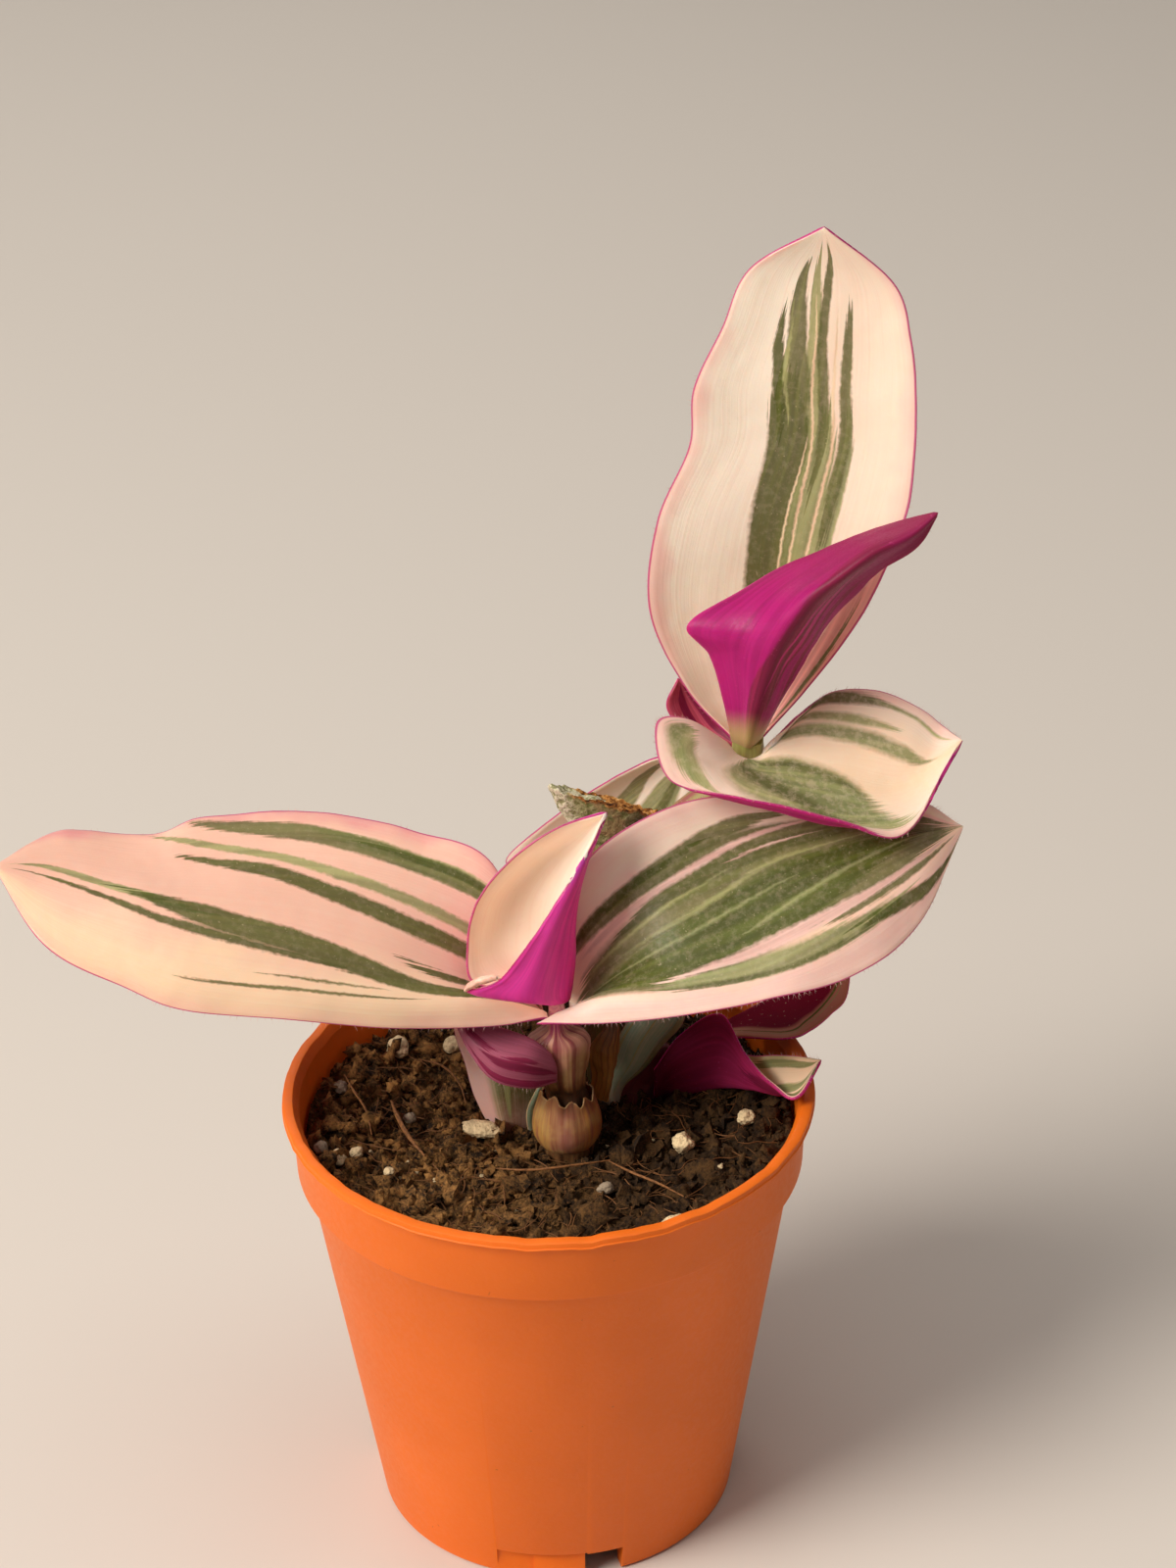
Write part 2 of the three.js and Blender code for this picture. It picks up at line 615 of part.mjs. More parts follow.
function soilHeight(x, y) {
  const fine = Math.sin(0.55 * x + 0.9) * Math.cos(0.48 * y);
  const broad = 0.5 * Math.sin(0.31 * x - 0.42 * y);
  const towardsWall = Math.max(0, Math.hypot(x, y) - SOIL.wallRiseFrom) / SOIL.wallRiseRun;
  const frontBank = Math.max(0, -SOIL.frontBankFrom - y) * SOIL.frontBankSlope;
  return SOIL.level + SOIL.bump * (fine + broad) + SOIL.wallRise * towardsWall + frontBank;
}

function soilBlock() {
  const { wall, stepHeight, collarFoot, shoulderRadius, footRadius, floorTop, floorCorner } = POT;
  const clear = wall + GAP;
  const sideRings = [
    [collarFoot - clear, stepHeight + wall + SOIL.shoulderDrop],
    [shoulderRadius - clear, stepHeight - wall],
    [footRadius - clear + floorCorner, floorTop + GAP],
  ];
  const positions = [0, 0, soilHeight(0, 0)];
  const ringCount = SOIL.rings.length + 1 + sideRings.length;
  const ringPoints = (radius, height) => {
    for (let k = 0; k < SOIL.sectors; k += 1) {
      const angle = (k / SOIL.sectors) * Math.PI * 2;
      const [x, y] = [Math.cos(angle) * radius, Math.sin(angle) * radius];
      positions.push(x, y, height ?? soilHeight(x, y));
    }
  };
  for (const radius of SOIL.rings) ringPoints(radius);
  ringPoints(collarFoot - clear);
  for (const [radius, height] of sideRings) ringPoints(radius, height);
  positions.push(0, 0, floorTop + GAP);
  const under = positions.length / 3 - 1;
  const at = (ring, k) => 1 + ring * SOIL.sectors + (k % SOIL.sectors);
  const triangles = [];
  for (let k = 0; k < SOIL.sectors; k += 1) {
    triangles.push(0, at(0, k), at(0, k + 1));
    for (let ring = 0; ring < ringCount - 1; ring += 1) {
      triangles.push(at(ring, k), at(ring + 1, k), at(ring + 1, k + 1));
      triangles.push(at(ring, k), at(ring + 1, k + 1), at(ring, k + 1));
    }
    triangles.push(under, at(ringCount - 1, k + 1), at(ringCount - 1, k));
  }
  let block = toSolid(meshGeometry(positions, triangles));
  for (const name of BURIED_LEAVES) {
    block = block.subtract(toSolid(leaf(LEAVES[name], leafDetail(name), GAP)));
  }
  for (const name of BURIED_STEMS) {
    block = block.subtract(toSolid(stem(STEMS[name], GAP)));
  }
  for (const piece of [...PERLITES, ...STONES]) {
    block = block.subtract(toSolid(grain(piece, GAP)));
  }
  return fromSolid(block);
}

// ---------------------------------------------------------------- assembly
const potted = new THREE.Group();

function add(name, geometry, material) {
  const mesh = new THREE.Mesh(geometry, material);
  mesh.name = name;
  potted.add(mesh);
}

function leafDetail(name) {
  if (SMALL_LEAVES.includes(name)) return SMALL_GRID;
  if (MIDDLE_LEAVES.includes(name)) return MIDDLE_GRID;
  return FINE_GRID;
}

const LEAF_FINISH = {
  left_leaf: LEAF_CREAM,
  right_leaf: LEAF_GREEN,
  centre_leaf: LEAF_CREAM,
  tall_leaf: LEAF_CREAM,
  young_leaf: LEAF_MAGENTA,
  crown_leaf: LEAF_CREAM,
  crown_back_leaf: LEAF_MAGENTA,
  back_leaf: LEAF_CREAM,
  lower_purple_leaf: LEAF_MAGENTA,
  lower_pale_leaf: LEAF_GREEN,
  side_blade: LEAF_SILVER,
  silver_leaf: LEAF_SILVER,
  edge_leaf: LEAF_MAGENTA,
  edge_back_leaf: LEAF_MAGENTA,
  dried_sheath: DRIED_BROWN,
};

function fibreStrand() {
  const half = FIBRE.thickness / 2;
  const section = new THREE.Shape();
  section.absarc(0, 0, half, 0, Math.PI * 2);
  const extrudePath = curveThrough(FIBRE.route);
  return welded(new THREE.ExtrudeGeometry(section, { steps: 10, curveSegments: 3, extrudePath }));
}

add('pot', potBody(), ORANGE_PLASTIC);
add('soil', soilBlock(), PEAT);
for (const [name, stations] of Object.entries(STEMS)) {
  add(name, stem(stations), STEM_GREEN);
}
for (const [name, shape] of Object.entries(LEAVES)) {
  add(name, leaf(shape, leafDetail(name)), LEAF_FINISH[name]);
}
PERLITES.forEach((piece, k) => add(`perlite_${k + 1}`, grain(piece), PERLITE));
STONES.forEach((piece, k) => add(`stone_${k + 1}`, grain(piece), STONE_GREY));
add('tan_fibre', fibreStrand(), STRAW);

export default potted;
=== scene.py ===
import math
import random

import bpy
import numpy as np
from bpy.props import FloatProperty, FloatVectorProperty, IntProperty, PointerProperty
from bpy.types import Operator, Panel, PropertyGroup
from mathutils import Matrix, Vector, noise


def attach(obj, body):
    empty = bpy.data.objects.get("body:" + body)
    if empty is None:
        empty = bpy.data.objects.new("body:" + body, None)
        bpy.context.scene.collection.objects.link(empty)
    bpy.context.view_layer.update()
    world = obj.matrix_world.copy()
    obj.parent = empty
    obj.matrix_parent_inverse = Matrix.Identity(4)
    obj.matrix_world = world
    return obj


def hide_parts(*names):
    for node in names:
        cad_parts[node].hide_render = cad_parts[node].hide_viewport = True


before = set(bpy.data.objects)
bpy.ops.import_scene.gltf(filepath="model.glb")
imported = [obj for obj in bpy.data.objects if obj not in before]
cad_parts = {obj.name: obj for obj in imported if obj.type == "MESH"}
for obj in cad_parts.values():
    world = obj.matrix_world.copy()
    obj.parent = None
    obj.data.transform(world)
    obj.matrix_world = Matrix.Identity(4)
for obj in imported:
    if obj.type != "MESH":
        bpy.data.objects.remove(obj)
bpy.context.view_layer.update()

bl_info = {
    "name": "Potted Tradescantia",
    "version": (1, 0, 0),
    "blender": (4, 5, 0),
    "location": "View3D > Sidebar > Plant",
    "description": "Builds a young variegated tradescantia in a small plastic nursery pot",
    "category": "Object",
}

MM = 0.001
ROOT = "root"


# ------------------------------------------------------------------ sizes and colours
def length(name, description, default):
    return FloatProperty(name=name, description=description, default=default, unit="LENGTH")


def number(name, description, default):
    return FloatProperty(name=name, description=description, default=default)


def camera_angle(name, description, degrees):
    return FloatProperty(
        name=name, description=description, default=math.radians(degrees), subtype="ANGLE"
    )


def paint(name, description, default):
    return FloatVectorProperty(
        name=name, description=description, default=default, subtype="COLOR", min=0, max=1
    )


class PotSizes(PropertyGroup):
    height: length("Height", "Height of the pot, foot to rim", 54 * MM)
    rim_radius: length("Rim radius", "Outer radius of the rim", 30 * MM)
    rim_inner: length("Rim inner radius", "Inner radius of the rim", 28.8 * MM)
    collar_radius: length("Collar radius", "Outer radius of the collar under the rim", 29 * MM)
    collar_foot: length("Collar foot radius", "Outer radius at the collar's lower edge", 28.7 * MM)
    step_height: length("Step height", "Height where the collar steps in", 45.3 * MM)
    shoulder_radius: length("Shoulder radius", "Outer radius just below the step", 27.5 * MM)
    foot_radius: length("Foot radius", "Outer radius at the foot", 20.75 * MM)
    wall: length("Wall", "Thickness of the wall", 0.9 * MM)
    slot_width: length("Drain slot width", "Width of each drain slot", 4.4 * MM)
    slot_height: length("Drain slot height", "Height of each drain slot", 3.7 * MM)
    sides: IntProperty(name="Sides", description="Segments round the pot", default=160)
    plastic: paint("Plastic", "Colour of the moulded plastic", (0.82, 0.155, 0.006))


class SoilSizes(PropertyGroup):
    level: length("Level", "Mean height of the soil in the middle", 46.8 * MM)
    crumbs: IntProperty(name="Crumbs", description="Loose crumbs of peat", default=5200)
    fibres: IntProperty(name="Fibres", description="Thin fibres in the peat", default=420)
    specks: IntProperty(name="Specks", description="Small broken bits of perlite", default=80)
    # Partly the dark peat and partly painted shade in the hollows of the relief.
    dark_peat: paint("Dark peat", "Colour in the hollows", (0.017, 0.0075, 0.002))
    # Painted shade: the colour laid over the right side of the peat, where the leaves shade it.
    damp_peat: paint("Damp peat", "Colour of the wetter side", (0.02, 0.0085, 0.002))
    light_peat: paint("Light peat", "Colour of the dry crumbs", (0.4, 0.19, 0.055))
    perlite: paint("Perlite", "Colour of the perlite grains", (0.8, 0.61, 0.35))
    stone: paint("Stone", "Colour of the stone grains", (0.33, 0.25, 0.17))
    fibre: paint("Fibre", "Colour of the tan fibres", (0.3, 0.12, 0.035))


class PlantSizes(PropertyGroup):
    blade: length("Blade thickness", "Thickness of a leaf", 0.42 * MM)
    hair: length("Hair length", "Length of the fine hairs on the margins", 0.75 * MM)
    cream: paint("Cream", "Pale ground of the upper face", (0.92, 0.61, 0.41))
    # Partly the leaves' own pale ground, partly painted light: set paler for faces that turn from
    # the lamp.
    pearl_with_painted_light: paint("Pearl", "Lightest ground of the upright leaves", (0.98, 0.78, 0.65))
    blush: paint("Blush", "Palest ground of the upright leaves", (0.9, 0.67, 0.54))
    pink: paint("Pink", "Pink blush of the upper face", (0.88, 0.5, 0.38))
    lilac: paint("Lilac", "Cool pink of the broad margins", (0.9, 0.54, 0.47))
    rose: paint("Rose", "Deeper pink near the base", (0.8, 0.34, 0.32))
    dusk: paint("Dusky pink", "Margins of the low leaves", (0.42, 0.17, 0.11))
    deep: paint("Deep green", "Darkest green stripes", (0.082, 0.1, 0.014))
    green: paint("Green", "Middle green stripes", (0.14, 0.145, 0.045))
    moss: paint("Moss", "Light green stripes", (0.26, 0.275, 0.11))
    sage: paint("Sage", "Pale grey-green stripes", (0.32, 0.32, 0.13))
    lime: paint("Lime", "Yellowish green edges", (0.5, 0.44, 0.15))
    magenta: paint("Magenta", "Underside and margins", (0.48, 0.016, 0.17))
    plum: paint("Plum", "Dark stripes of the underside", (0.2, 0.012, 0.05))
    wine: paint("Wine", "Deep red of the thin folded leaf", (0.17, 0.004, 0.02))
    # Painted shade: the darkest red, laid over undersides where the leaves above shade them.
    maroon: paint("Maroon", "Darkest red of the shaded undersides", (0.045, 0.003, 0.006))
    silver: paint("Silver", "Silvery blue-green", (0.25, 0.38, 0.24))


class StageSizes(PropertyGroup):
    lens: number("Lens", "Focal length of the camera", 80)
    distance: length("Distance", "Camera to the point that it looks at", 373.8 * MM)
    elevation: camera_angle("Elevation", "Camera's angle above the horizon", 28.77)
    roll: camera_angle("Roll", "Camera's turn about its own line of sight", -0.997)
    key: number("Key light", "Power of the large soft key light", 14.5)
    fill: number("Fill light", "Power of the fill light", 0.35)
    top: number("Top light", "Power of the overhead light", 3.6)
    floor: paint("Floor", "Pale floor", (0.66, 0.6, 0.54))


class PlantSettings(PropertyGroup):
    pot: PointerProperty(type=PotSizes)
    soil: PointerProperty(type=SoilSizes)
    plant: PointerProperty(type=PlantSizes)
    stage: PointerProperty(type=StageSizes)


def settings():
    return bpy.context.scene.potted_plant


# ------------------------------------------------------------------ materials
def toned(colour, share, lift=0.0):
    """A darker or lighter tone of the colour."""
    return [min(1.0, channel * share + lift) for channel in colour]


class Bench:
    """Adds nodes to one material and joins them up."""

    def __init__(self, name):
        self.material = bpy.data.materials.new(name)
        self.material.use_nodes = True
        self.tree = self.material.node_tree
        self.tree.nodes.clear()
        self.skin = self.add("ShaderNodeBsdfPrincipled")
        out = self.add("ShaderNodeOutputMaterial")
        self.join(self.skin.outputs[0], out.inputs["Surface"])

    def add(self, kind, **values):
        node = self.tree.nodes.new(kind)
        for key, value in values.items():
            setattr(node, key, value)
        return node

    def join(self, source, socket):
        self.tree.links.new(source, socket)

    def feed(self, socket, value):
        if isinstance(value, bpy.types.NodeSocket):
            self.join(value, socket)
        else:
            socket.default_value = value

    def feed_named(self, node, **values):
        """Gives a node its inputs by name, each a value or another node's output."""
        for key, value in values.items():
            self.feed(node.inputs[key.replace("_", " ")], value)
        return node.outputs[0]

    def feed_first(self, node, *values):
        """Gives a node its first inputs in order."""
        for socket, value in zip(node.inputs, values):
            self.feed(socket, value)
        return node.outputs[0]

    def set_skin(self, **values):
        self.feed_named(self.skin, **values)

    def math(self, operation, *values, clamp=False):
        node = self.add("ShaderNodeMath", operation=operation, use_clamp=clamp)
        return self.feed_first(node, *values)

    def times(self, first, second, clamp=False):
        return self.math("MULTIPLY", first, second, clamp=clamp)

    def plus(self, first, second, clamp=False):
        return self.math("ADD", first, second, clamp=clamp)

    def minus(self, first, second):
        return self.math("SUBTRACT", first, second)

    def sway(self, value, width):
        """A value from 0 to 1 made to swing about zero, over the given width."""
        return self.times(self.minus(value, 0.5), width)

    def mix(self, share, first, second):
        node = self.add("ShaderNodeMix", data_type="RGBA")
        for socket, value in ((0, share), (6, first), (7, second)):
            if not isinstance(value, (bpy.types.NodeSocket, float, int)):
                value = (*value[:3], 1)
            self.feed(node.inputs[socket], value)
        return node.outputs[2]

    def stain(self, body, colour, value, low, high, full=1.0):
        """Lays the colour over the body where the value goes from low to high."""
        return self.mix(self.span(value, low, high, 0, full), body, colour)

    def point(self, x, y, z=0.0):
        """A vector from its three parts."""
        return self.feed_first(self.add("ShaderNodeCombineXYZ"), x, y, z)

    def grain(self, place, scale, detail=2.0, rough=0.5):
        """Cloudy noise from 0 to 1. The scale counts its blots in one metre."""
        node = self.add("ShaderNodeTexNoise")
        return self.feed_named(node, Vector=place, Scale=scale, Detail=detail, Roughness=rough)

    def cells(self, place, scale):
        """Distance to the middle of each cell."""
        return self.feed_named(self.add("ShaderNodeTexVoronoi"), Vector=place, Scale=scale)

    def span(self, value, low, high, to_low=0.0, to_high=1.0):
        """Takes low to to_low and high to to_high, with soft ends."""
        node = self.add("ShaderNodeMapRange", interpolation_type="SMOOTHSTEP")
        return self.feed_first(node, value, low, high, to_low, to_high)

    def ramp(self, value, stops):
        """A colour for the value, from stops of (value, colour)."""
        node = self.add("ShaderNodeValToRGB")
        self.join(value, node.inputs[0])
        bar = node.color_ramp.elements
        while len(bar) < len(stops):
            bar.new(1.0)
        for element, (place, colour) in zip(bar, stops):
            element.position = place
            element.color = (*colour[:3], 1)
        return node.outputs[0]

    def curve(self, value, points):
        """Reads a smooth curve through (in, out) points, both from 0 to 1."""
        node = self.add("ShaderNodeFloatCurve")
        self.join(value, node.inputs["Value"])
        line = node.mapping.curves[0].points
        while len(line) < len(points):
            line.new(0.5, 0.5)
        for stop, place in zip(line, points):
            stop.location = place
        node.mapping.update()
        return node.outputs[0]

    def group(self, tree, **values):
        return self.feed_named(self.add("ShaderNodeGroup", node_tree=tree), **values)

    def object_place(self):
        return self.add("ShaderNodeTexCoord").outputs["Object"]

    def apart(self, vector):
        """The parts of a vector along X, Y and Z."""
        split = self.add("ShaderNodeSeparateXYZ")
        self.feed_first(split, vector)
        return tuple(split.outputs)

    def uv(self):
        return self.apart(self.add("ShaderNodeUVMap", uv_map="UVMap").outputs[0])[:2]

    def bump(self, height, distance, strength=1.0):
        node = self.add("ShaderNodeBump")
        relief = self.feed_named(node, Strength=strength, Distance=distance, Height=height)
        self.set_skin(Normal=relief)


def pot_plastic():
    """Satin orange plastic: a faint cloudiness, a fine grain and a few dark specks."""
    colours = settings().pot
    bench = Bench("moulded_orange_plastic")
    place = bench.object_place()
    broad = bench.grain(place, 60, 3)
    fine = bench.grain(place, 1400, 4, 0.6)
    faded, worn = toned(colours.plastic, 1.02, 0.004), toned(colours.plastic, 0.96)
    scuffed, speck = (0.92, 0.3, 0.06), (0.2, 0.05, 0.01)
    body = bench.stain(worn, faded, broad, 0.35, 0.65)
    body = bench.stain(body, scuffed, fine, 0.55, 0.75, 0.12)
    body = bench.stain(body, speck, bench.grain(place, 1300, 1), 0.78, 0.82, 0.3)
    bench.set_skin(
        Base_Color=body,
        Roughness=bench.span(fine, 0.3, 0.8, 0.44, 0.58),
        Specular_IOR_Level=0.3,
        Subsurface_Weight=0.12,
        Subsurface_Scale=1.2 * MM,
        Subsurface_Radius=(1.0, 0.35, 0.1),
    )
    bench.bump(bench.plus(fine, bench.times(broad, 2.0)), 0.06 * MM, 0.5)
    return bench.material


def peat(name, lift):
    """Peat: dark hollows, partly dark peat and partly painted shade, dry brown crumbs and bits
    of straw, and painted shade that darkens it towards the right. The lift makes more of it dry."""
    colours = settings().soil
    bench = Bench(name)
    place = bench.object_place()
    clump = bench.grain(place, 420, 5, 0.65)
    fine = bench.grain(place, 2600, 4, 0.7)
    blend = bench.plus(bench.times(clump, 0.6), bench.times(fine, 0.4))
    # The dark end of the ramp falls in the hollows of the bump: dark peat with painted shade.
    stops = [(0.42, colours.dark_peat), (0.5 - lift, toned(colours.light_peat, 0.4)),
             (0.6 - lift, colours.light_peat)]
    colour = bench.ramp(blend, stops)
    colour = bench.stain(colour, colours.fibre, bench.grain(place, 1900, 2), 0.64, 0.7, 0.8)
    # Painted shade: the peat darkens towards the right, where the leaves above shade it.
    to_right = bench.plus(bench.apart(place)[0], bench.times(clump, 6 * MM))
    colour = bench.stain(colour, colours.damp_peat, to_right, -12 * MM, 14 * MM, 0.8)
    bench.set_skin(Base_Color=colour, Roughness=0.92, Specular_IOR_Level=0.25)
    bench.bump(blend, 1.1 * MM)
    return bench.material


def grain_skin(name, colour, pits):
    """A pitted grain with peat in its hollows; pits is the tone of the pits."""
    bench = Bench(name)
    place = bench.object_place()
    holes = bench.cells(place, 2600)
    fine = bench.grain(place, 3200, 3)
    body = bench.stain(toned(colour, pits), colour, holes, 0.05, 0.35)
    body = bench.stain(body, toned(colour, 0.35), bench.grain(place, 700, 4), 0.45, 0.7, 0.55)
    bench.set_skin(Base_Color=body, Roughness=0.85, Specular_IOR_Level=0.3)
    bench.bump(bench.plus(holes, fine), 0.15 * MM, 0.8)
    return bench.material


def fibre_skin(name, colour):
    """A dry strand with darker lines along it."""
    bench = Bench(name)
    around, along = bench.uv()
    lines = bench.grain(bench.point(around, bench.times(along, 0.2)), 24, 3)
    body = bench.stain(toned(colour, 0.4), colour, lines, 0.35, 0.65)
    bench.set_skin(Base_Color=body, Roughness=0.7, Specular_IOR_Level=0.35)
    bench.bump(lines, 0.05 * MM, 0.6)
    return bench.material


def streak_group():
    """A node group that gives one stripe's strength: it tapers to a point at both of its ends."""
    tree = bpy.data.node_groups.new("leaf_streak", "ShaderNodeTree")
    for name in ("Across", "Along", "Middle", "From", "To", "Half", "Taper", "Softness"):
        tree.interface.new_socket(name, in_out="INPUT", socket_type="NodeSocketFloat")
    tree.interface.new_socket("Strength", in_out="OUTPUT", socket_type="NodeSocketFloat")
    bench = Bench.__new__(Bench)
    bench.tree = tree
    given = bench.add("NodeGroupInput").outputs
    out = bench.add("NodeGroupOutput")
    grown, left = (
        bench.math("DIVIDE", bench.minus(given[last], given[first]), given["Taper"], clamp=True)
        for last, first in (("Along", "From"), ("To", "Along"))
    )
    ends = bench.math("SQRT", bench.times(grown, left))
    off = bench.math("ABSOLUTE", bench.minus(given["Across"], given["Middle"]))
    room = bench.minus(bench.times(given["Half"], ends), off)
    fill = bench.plus(bench.math("DIVIDE", room, given["Softness"]), 0.5, clamp=True)
    strength = bench.times(fill, bench.times(ends, 4.0, clamp=True))
    bench.join(strength, out.inputs[0])
    return tree


def leaf_skin(leaf, under, seed, streaks):
    """One face of a leaf: its ground colour across the blade, then each stripe along the veins."""
    colours = settings().plant
    bench = Bench(leaf + ("_back" if under else "_face"))
    across, along = bench.uv()
    place = bench.object_place()
    slow = bench.times(along, 1.6)
    vein = bench.grain(bench.point(bench.times(across, 90), slow, seed), 1, 1)
    thread = bench.grain(bench.point(bench.times(across, 34), slow, seed + 3.0), 1, 3)
    wander = bench.grain(bench.point(bench.times(across, 4), bench.times(along, 5), seed), 1, 2)
    broad = bench.grain(place, 130, 2)
    saw = bench.grain(place, 1500, 2)
    shift = bench.plus(bench.sway(wander, 0.022), bench.sway(saw, 0.014))
    shift = bench.plus(shift, bench.sway(thread, 0.012))
    moved = bench.plus(across, shift)
    reach = bench.plus(along, bench.sway(vein, 0.22))
    matt = leaf in MATT
    if under:
        back = BACKS.get(leaf, tuple(colours.magenta))
        body = bench.stain(toned(back, 0.72), back, thread, 0.35, 0.7)
        body = bench.stain(body, toned(back, 1.15, 0.008), broad, 0.4, 0.7, 0.4)
    else:
        wavy = bench.plus(across, bench.sway(broad, 0.3))
        ground = GROUNDS.get(leaf, PLAIN_GROUND)
        body = bench.ramp(wavy, [(at, getattr(colours, tone)) for at, tone in ground])
        # The foot's ground colour; on the right leaf its blush is painted light.
        foot = getattr(colours, FOOT_GROUND.get(leaf, "rose"))
        body = bench.stain(body, foot, along, FOOT_REACH, 0.0, 0.5)
        if not matt:
            body = bench.stain(body, colours.blush, thread, 0.45, 0.75, 0.16)
            body = bench.stain(body, colours.pink, vein, 0.45, 0.75, 0.16)
    for tone, half, taper, path in STRIPES.get(leaf, []):
        if under:
            tone = BACK_STRIPES.get(tone)
        if tone is None:
            continue
        strength = bench.group(
            streaks,
            Across=moved, Along=reach, Middle=bench.curve(along, path),
            From=path[0][0], To=path[-1][0], Half=half, Taper=taper,
            Softness=(0.008 + half * 0.12) * SOFTER.get(leaf, 1.0),
        )
        colour = getattr(colours, tone)
        mottle = bench.stain(toned(colour, 0.78), toned(colour, 1.22), thread, 0.35, 0.7)
        body = bench.mix(bench.times(strength, 0.94), body, mottle)
    # Washes from the base and toward the tip; the edge leaf's maroon and the young leaf's plum are
    # painted shade.
    for washes, far_end in ((BASES, 0.02), (TIPS, 1.0)):
        if leaf in washes:
            tone, from_here, full = washes[leaf]
            body = bench.stain(body, getattr(colours, tone), along, from_here, far_end, full)
    if not under and not matt:
        # A pale chalky bloom on the face, partly real dust and partly painted sheen.
        chalk_and_sheen = bench.grain(place, 1100, 3, 0.7)
        body = bench.stain(body, (0.9, 0.7, 0.54), chalk_and_sheen, 0.42, 0.7, CHALK_AND_SHEEN.get(leaf, 0.08))
    dust = (0.6, 0.08, 0.27) if under else (0.75, 0.62, 0.4)
    body = bench.stain(body, dust, bench.grain(place, 2600, 1), 0.7, 0.78, 0.22)
    edge = bench.math("ABSOLUTE", bench.minus(across, 0.5))
    body = bench.stain(body, colours.magenta, edge, 0.4895, 0.4955, 0.85)
    cell = bench.grain(place, 3400, 2)
    bench.set_skin(
        Base_Color=body,
        Roughness=0.65 if matt else bench.span(cell, 0.2, 0.9, 0.36, 0.56),
        Specular_IOR_Level=0.03 if matt else 0.18 if under else 0.25,
        Sheen_Weight=0.0 if under else 0.03,
        Sheen_Roughness=0.4,
        Subsurface_Weight=0.4,
        Subsurface_Scale=1.6 * MM,
        Subsurface_Radius=(1.0, 0.45, 0.3),
    )
    relief = bench.plus(bench.times(vein, 1.4), bench.times(cell, 0.5))
    bench.bump(bench.plus(relief, thread), 0.035 * MM, 0.45)
    return bench.material


def plain_skin(name, colour, rough=0.45):
    """A finish with a slight mottle and fine relief, for margins, hairs and cut edges."""
    bench = Bench(name)
    place = bench.object_place()
    mottle = bench.grain(place, 900, 3)
    body = bench.stain(toned(colour, 0.75), toned(colour, 1.2), mottle, 0.3, 0.7)
    bench.set_skin(
        Base_Color=body, Roughness=rough, Subsurface_Weight=0.25, Subsurface_Scale=0.8 * MM
    )
    bench.bump(mottle, 0.05 * MM, 0.4)
    return bench.material


def striped_stem_skin(name, tones, lines):
    """A fleshy stem, streaked along its length. The tones are (share of the length, colour
    between the streaks, colour of the streaks)."""
    bench = Bench(name)
    around, along = bench.uv()
    place = bench.object_place()
    reach = bench.point(bench.times(around, lines), bench.times(along, 0.8))
    streak = bench.grain(reach, 1, 3)
    patch = bench.grain(place, 420, 3)
    wavy = bench.plus(along, bench.sway(patch, 0.35))
    body = bench.ramp(wavy, [(at, tone) for at, tone, _ in tones])
    dark = bench.ramp(wavy, [(at, tone) for at, _, tone in tones])
    body = bench.stain(body, dark, streak, 0.42, 0.62)
    bench.set_skin(
        Base_Color=body, Roughness=0.5, Specular_IOR_Level=0.4,
        Subsurface_Weight=0.2, Subsurface_Scale=1.0 * MM,
    )
    bench.bump(bench.plus(streak, patch), 0.25 * MM, 0.7)
    return bench.material


def cuff_skin():
    """The papery sleeve: ribbed along, stained at its foot, dry at its torn edge."""
    bench = Bench("cuff_skin")
    around, along = bench.uv()
    lines = bench.point(bench.times(around, 46), bench.times(along, 1.5), 2.0)
    lines = bench.grain(lines, 1, 3)
    cloud = bench.grain(bench.object_place(), 420, 3)
    body = bench.ramp(around, [(0.0, (0.36, 0.15, 0.035)), (0.5, (0.42, 0.22, 0.05)),
                               (0.64, (0.44, 0.23, 0.06)), (0.74, (0.33, 0.13, 0.1)),
                               (0.86, (0.42, 0.18, 0.04)), (1.0, (0.36, 0.15, 0.035))])
    for colour, value, low, high, full in (
        ((0.27, 0.09, 0.05), lines, 0.35, 0.7, 1.0),
        ((0.5, 0.32, 0.1), cloud, 0.45, 0.7, 0.4),
        ((0.13, 0.05, 0.015), along, 0.3, 0.0, 0.7),
        ((0.16, 0.06, 0.02), along, 0.78, 0.92, 0.5),
        ((0.45, 0.28, 0.12), along, 0.97, 0.995, 0.6),
    ):
        body = bench.stain(body, colour, value, low, high, full)
    bench.set_skin(Base_Color=body, Roughness=0.5, Specular_IOR_Level=0.35,
                   Subsurface_Weight=0.15, Subsurface_Scale=0.8 * MM)
    bench.bump(bench.plus(lines, cloud), 0.12 * MM, 0.6)
    return bench.material


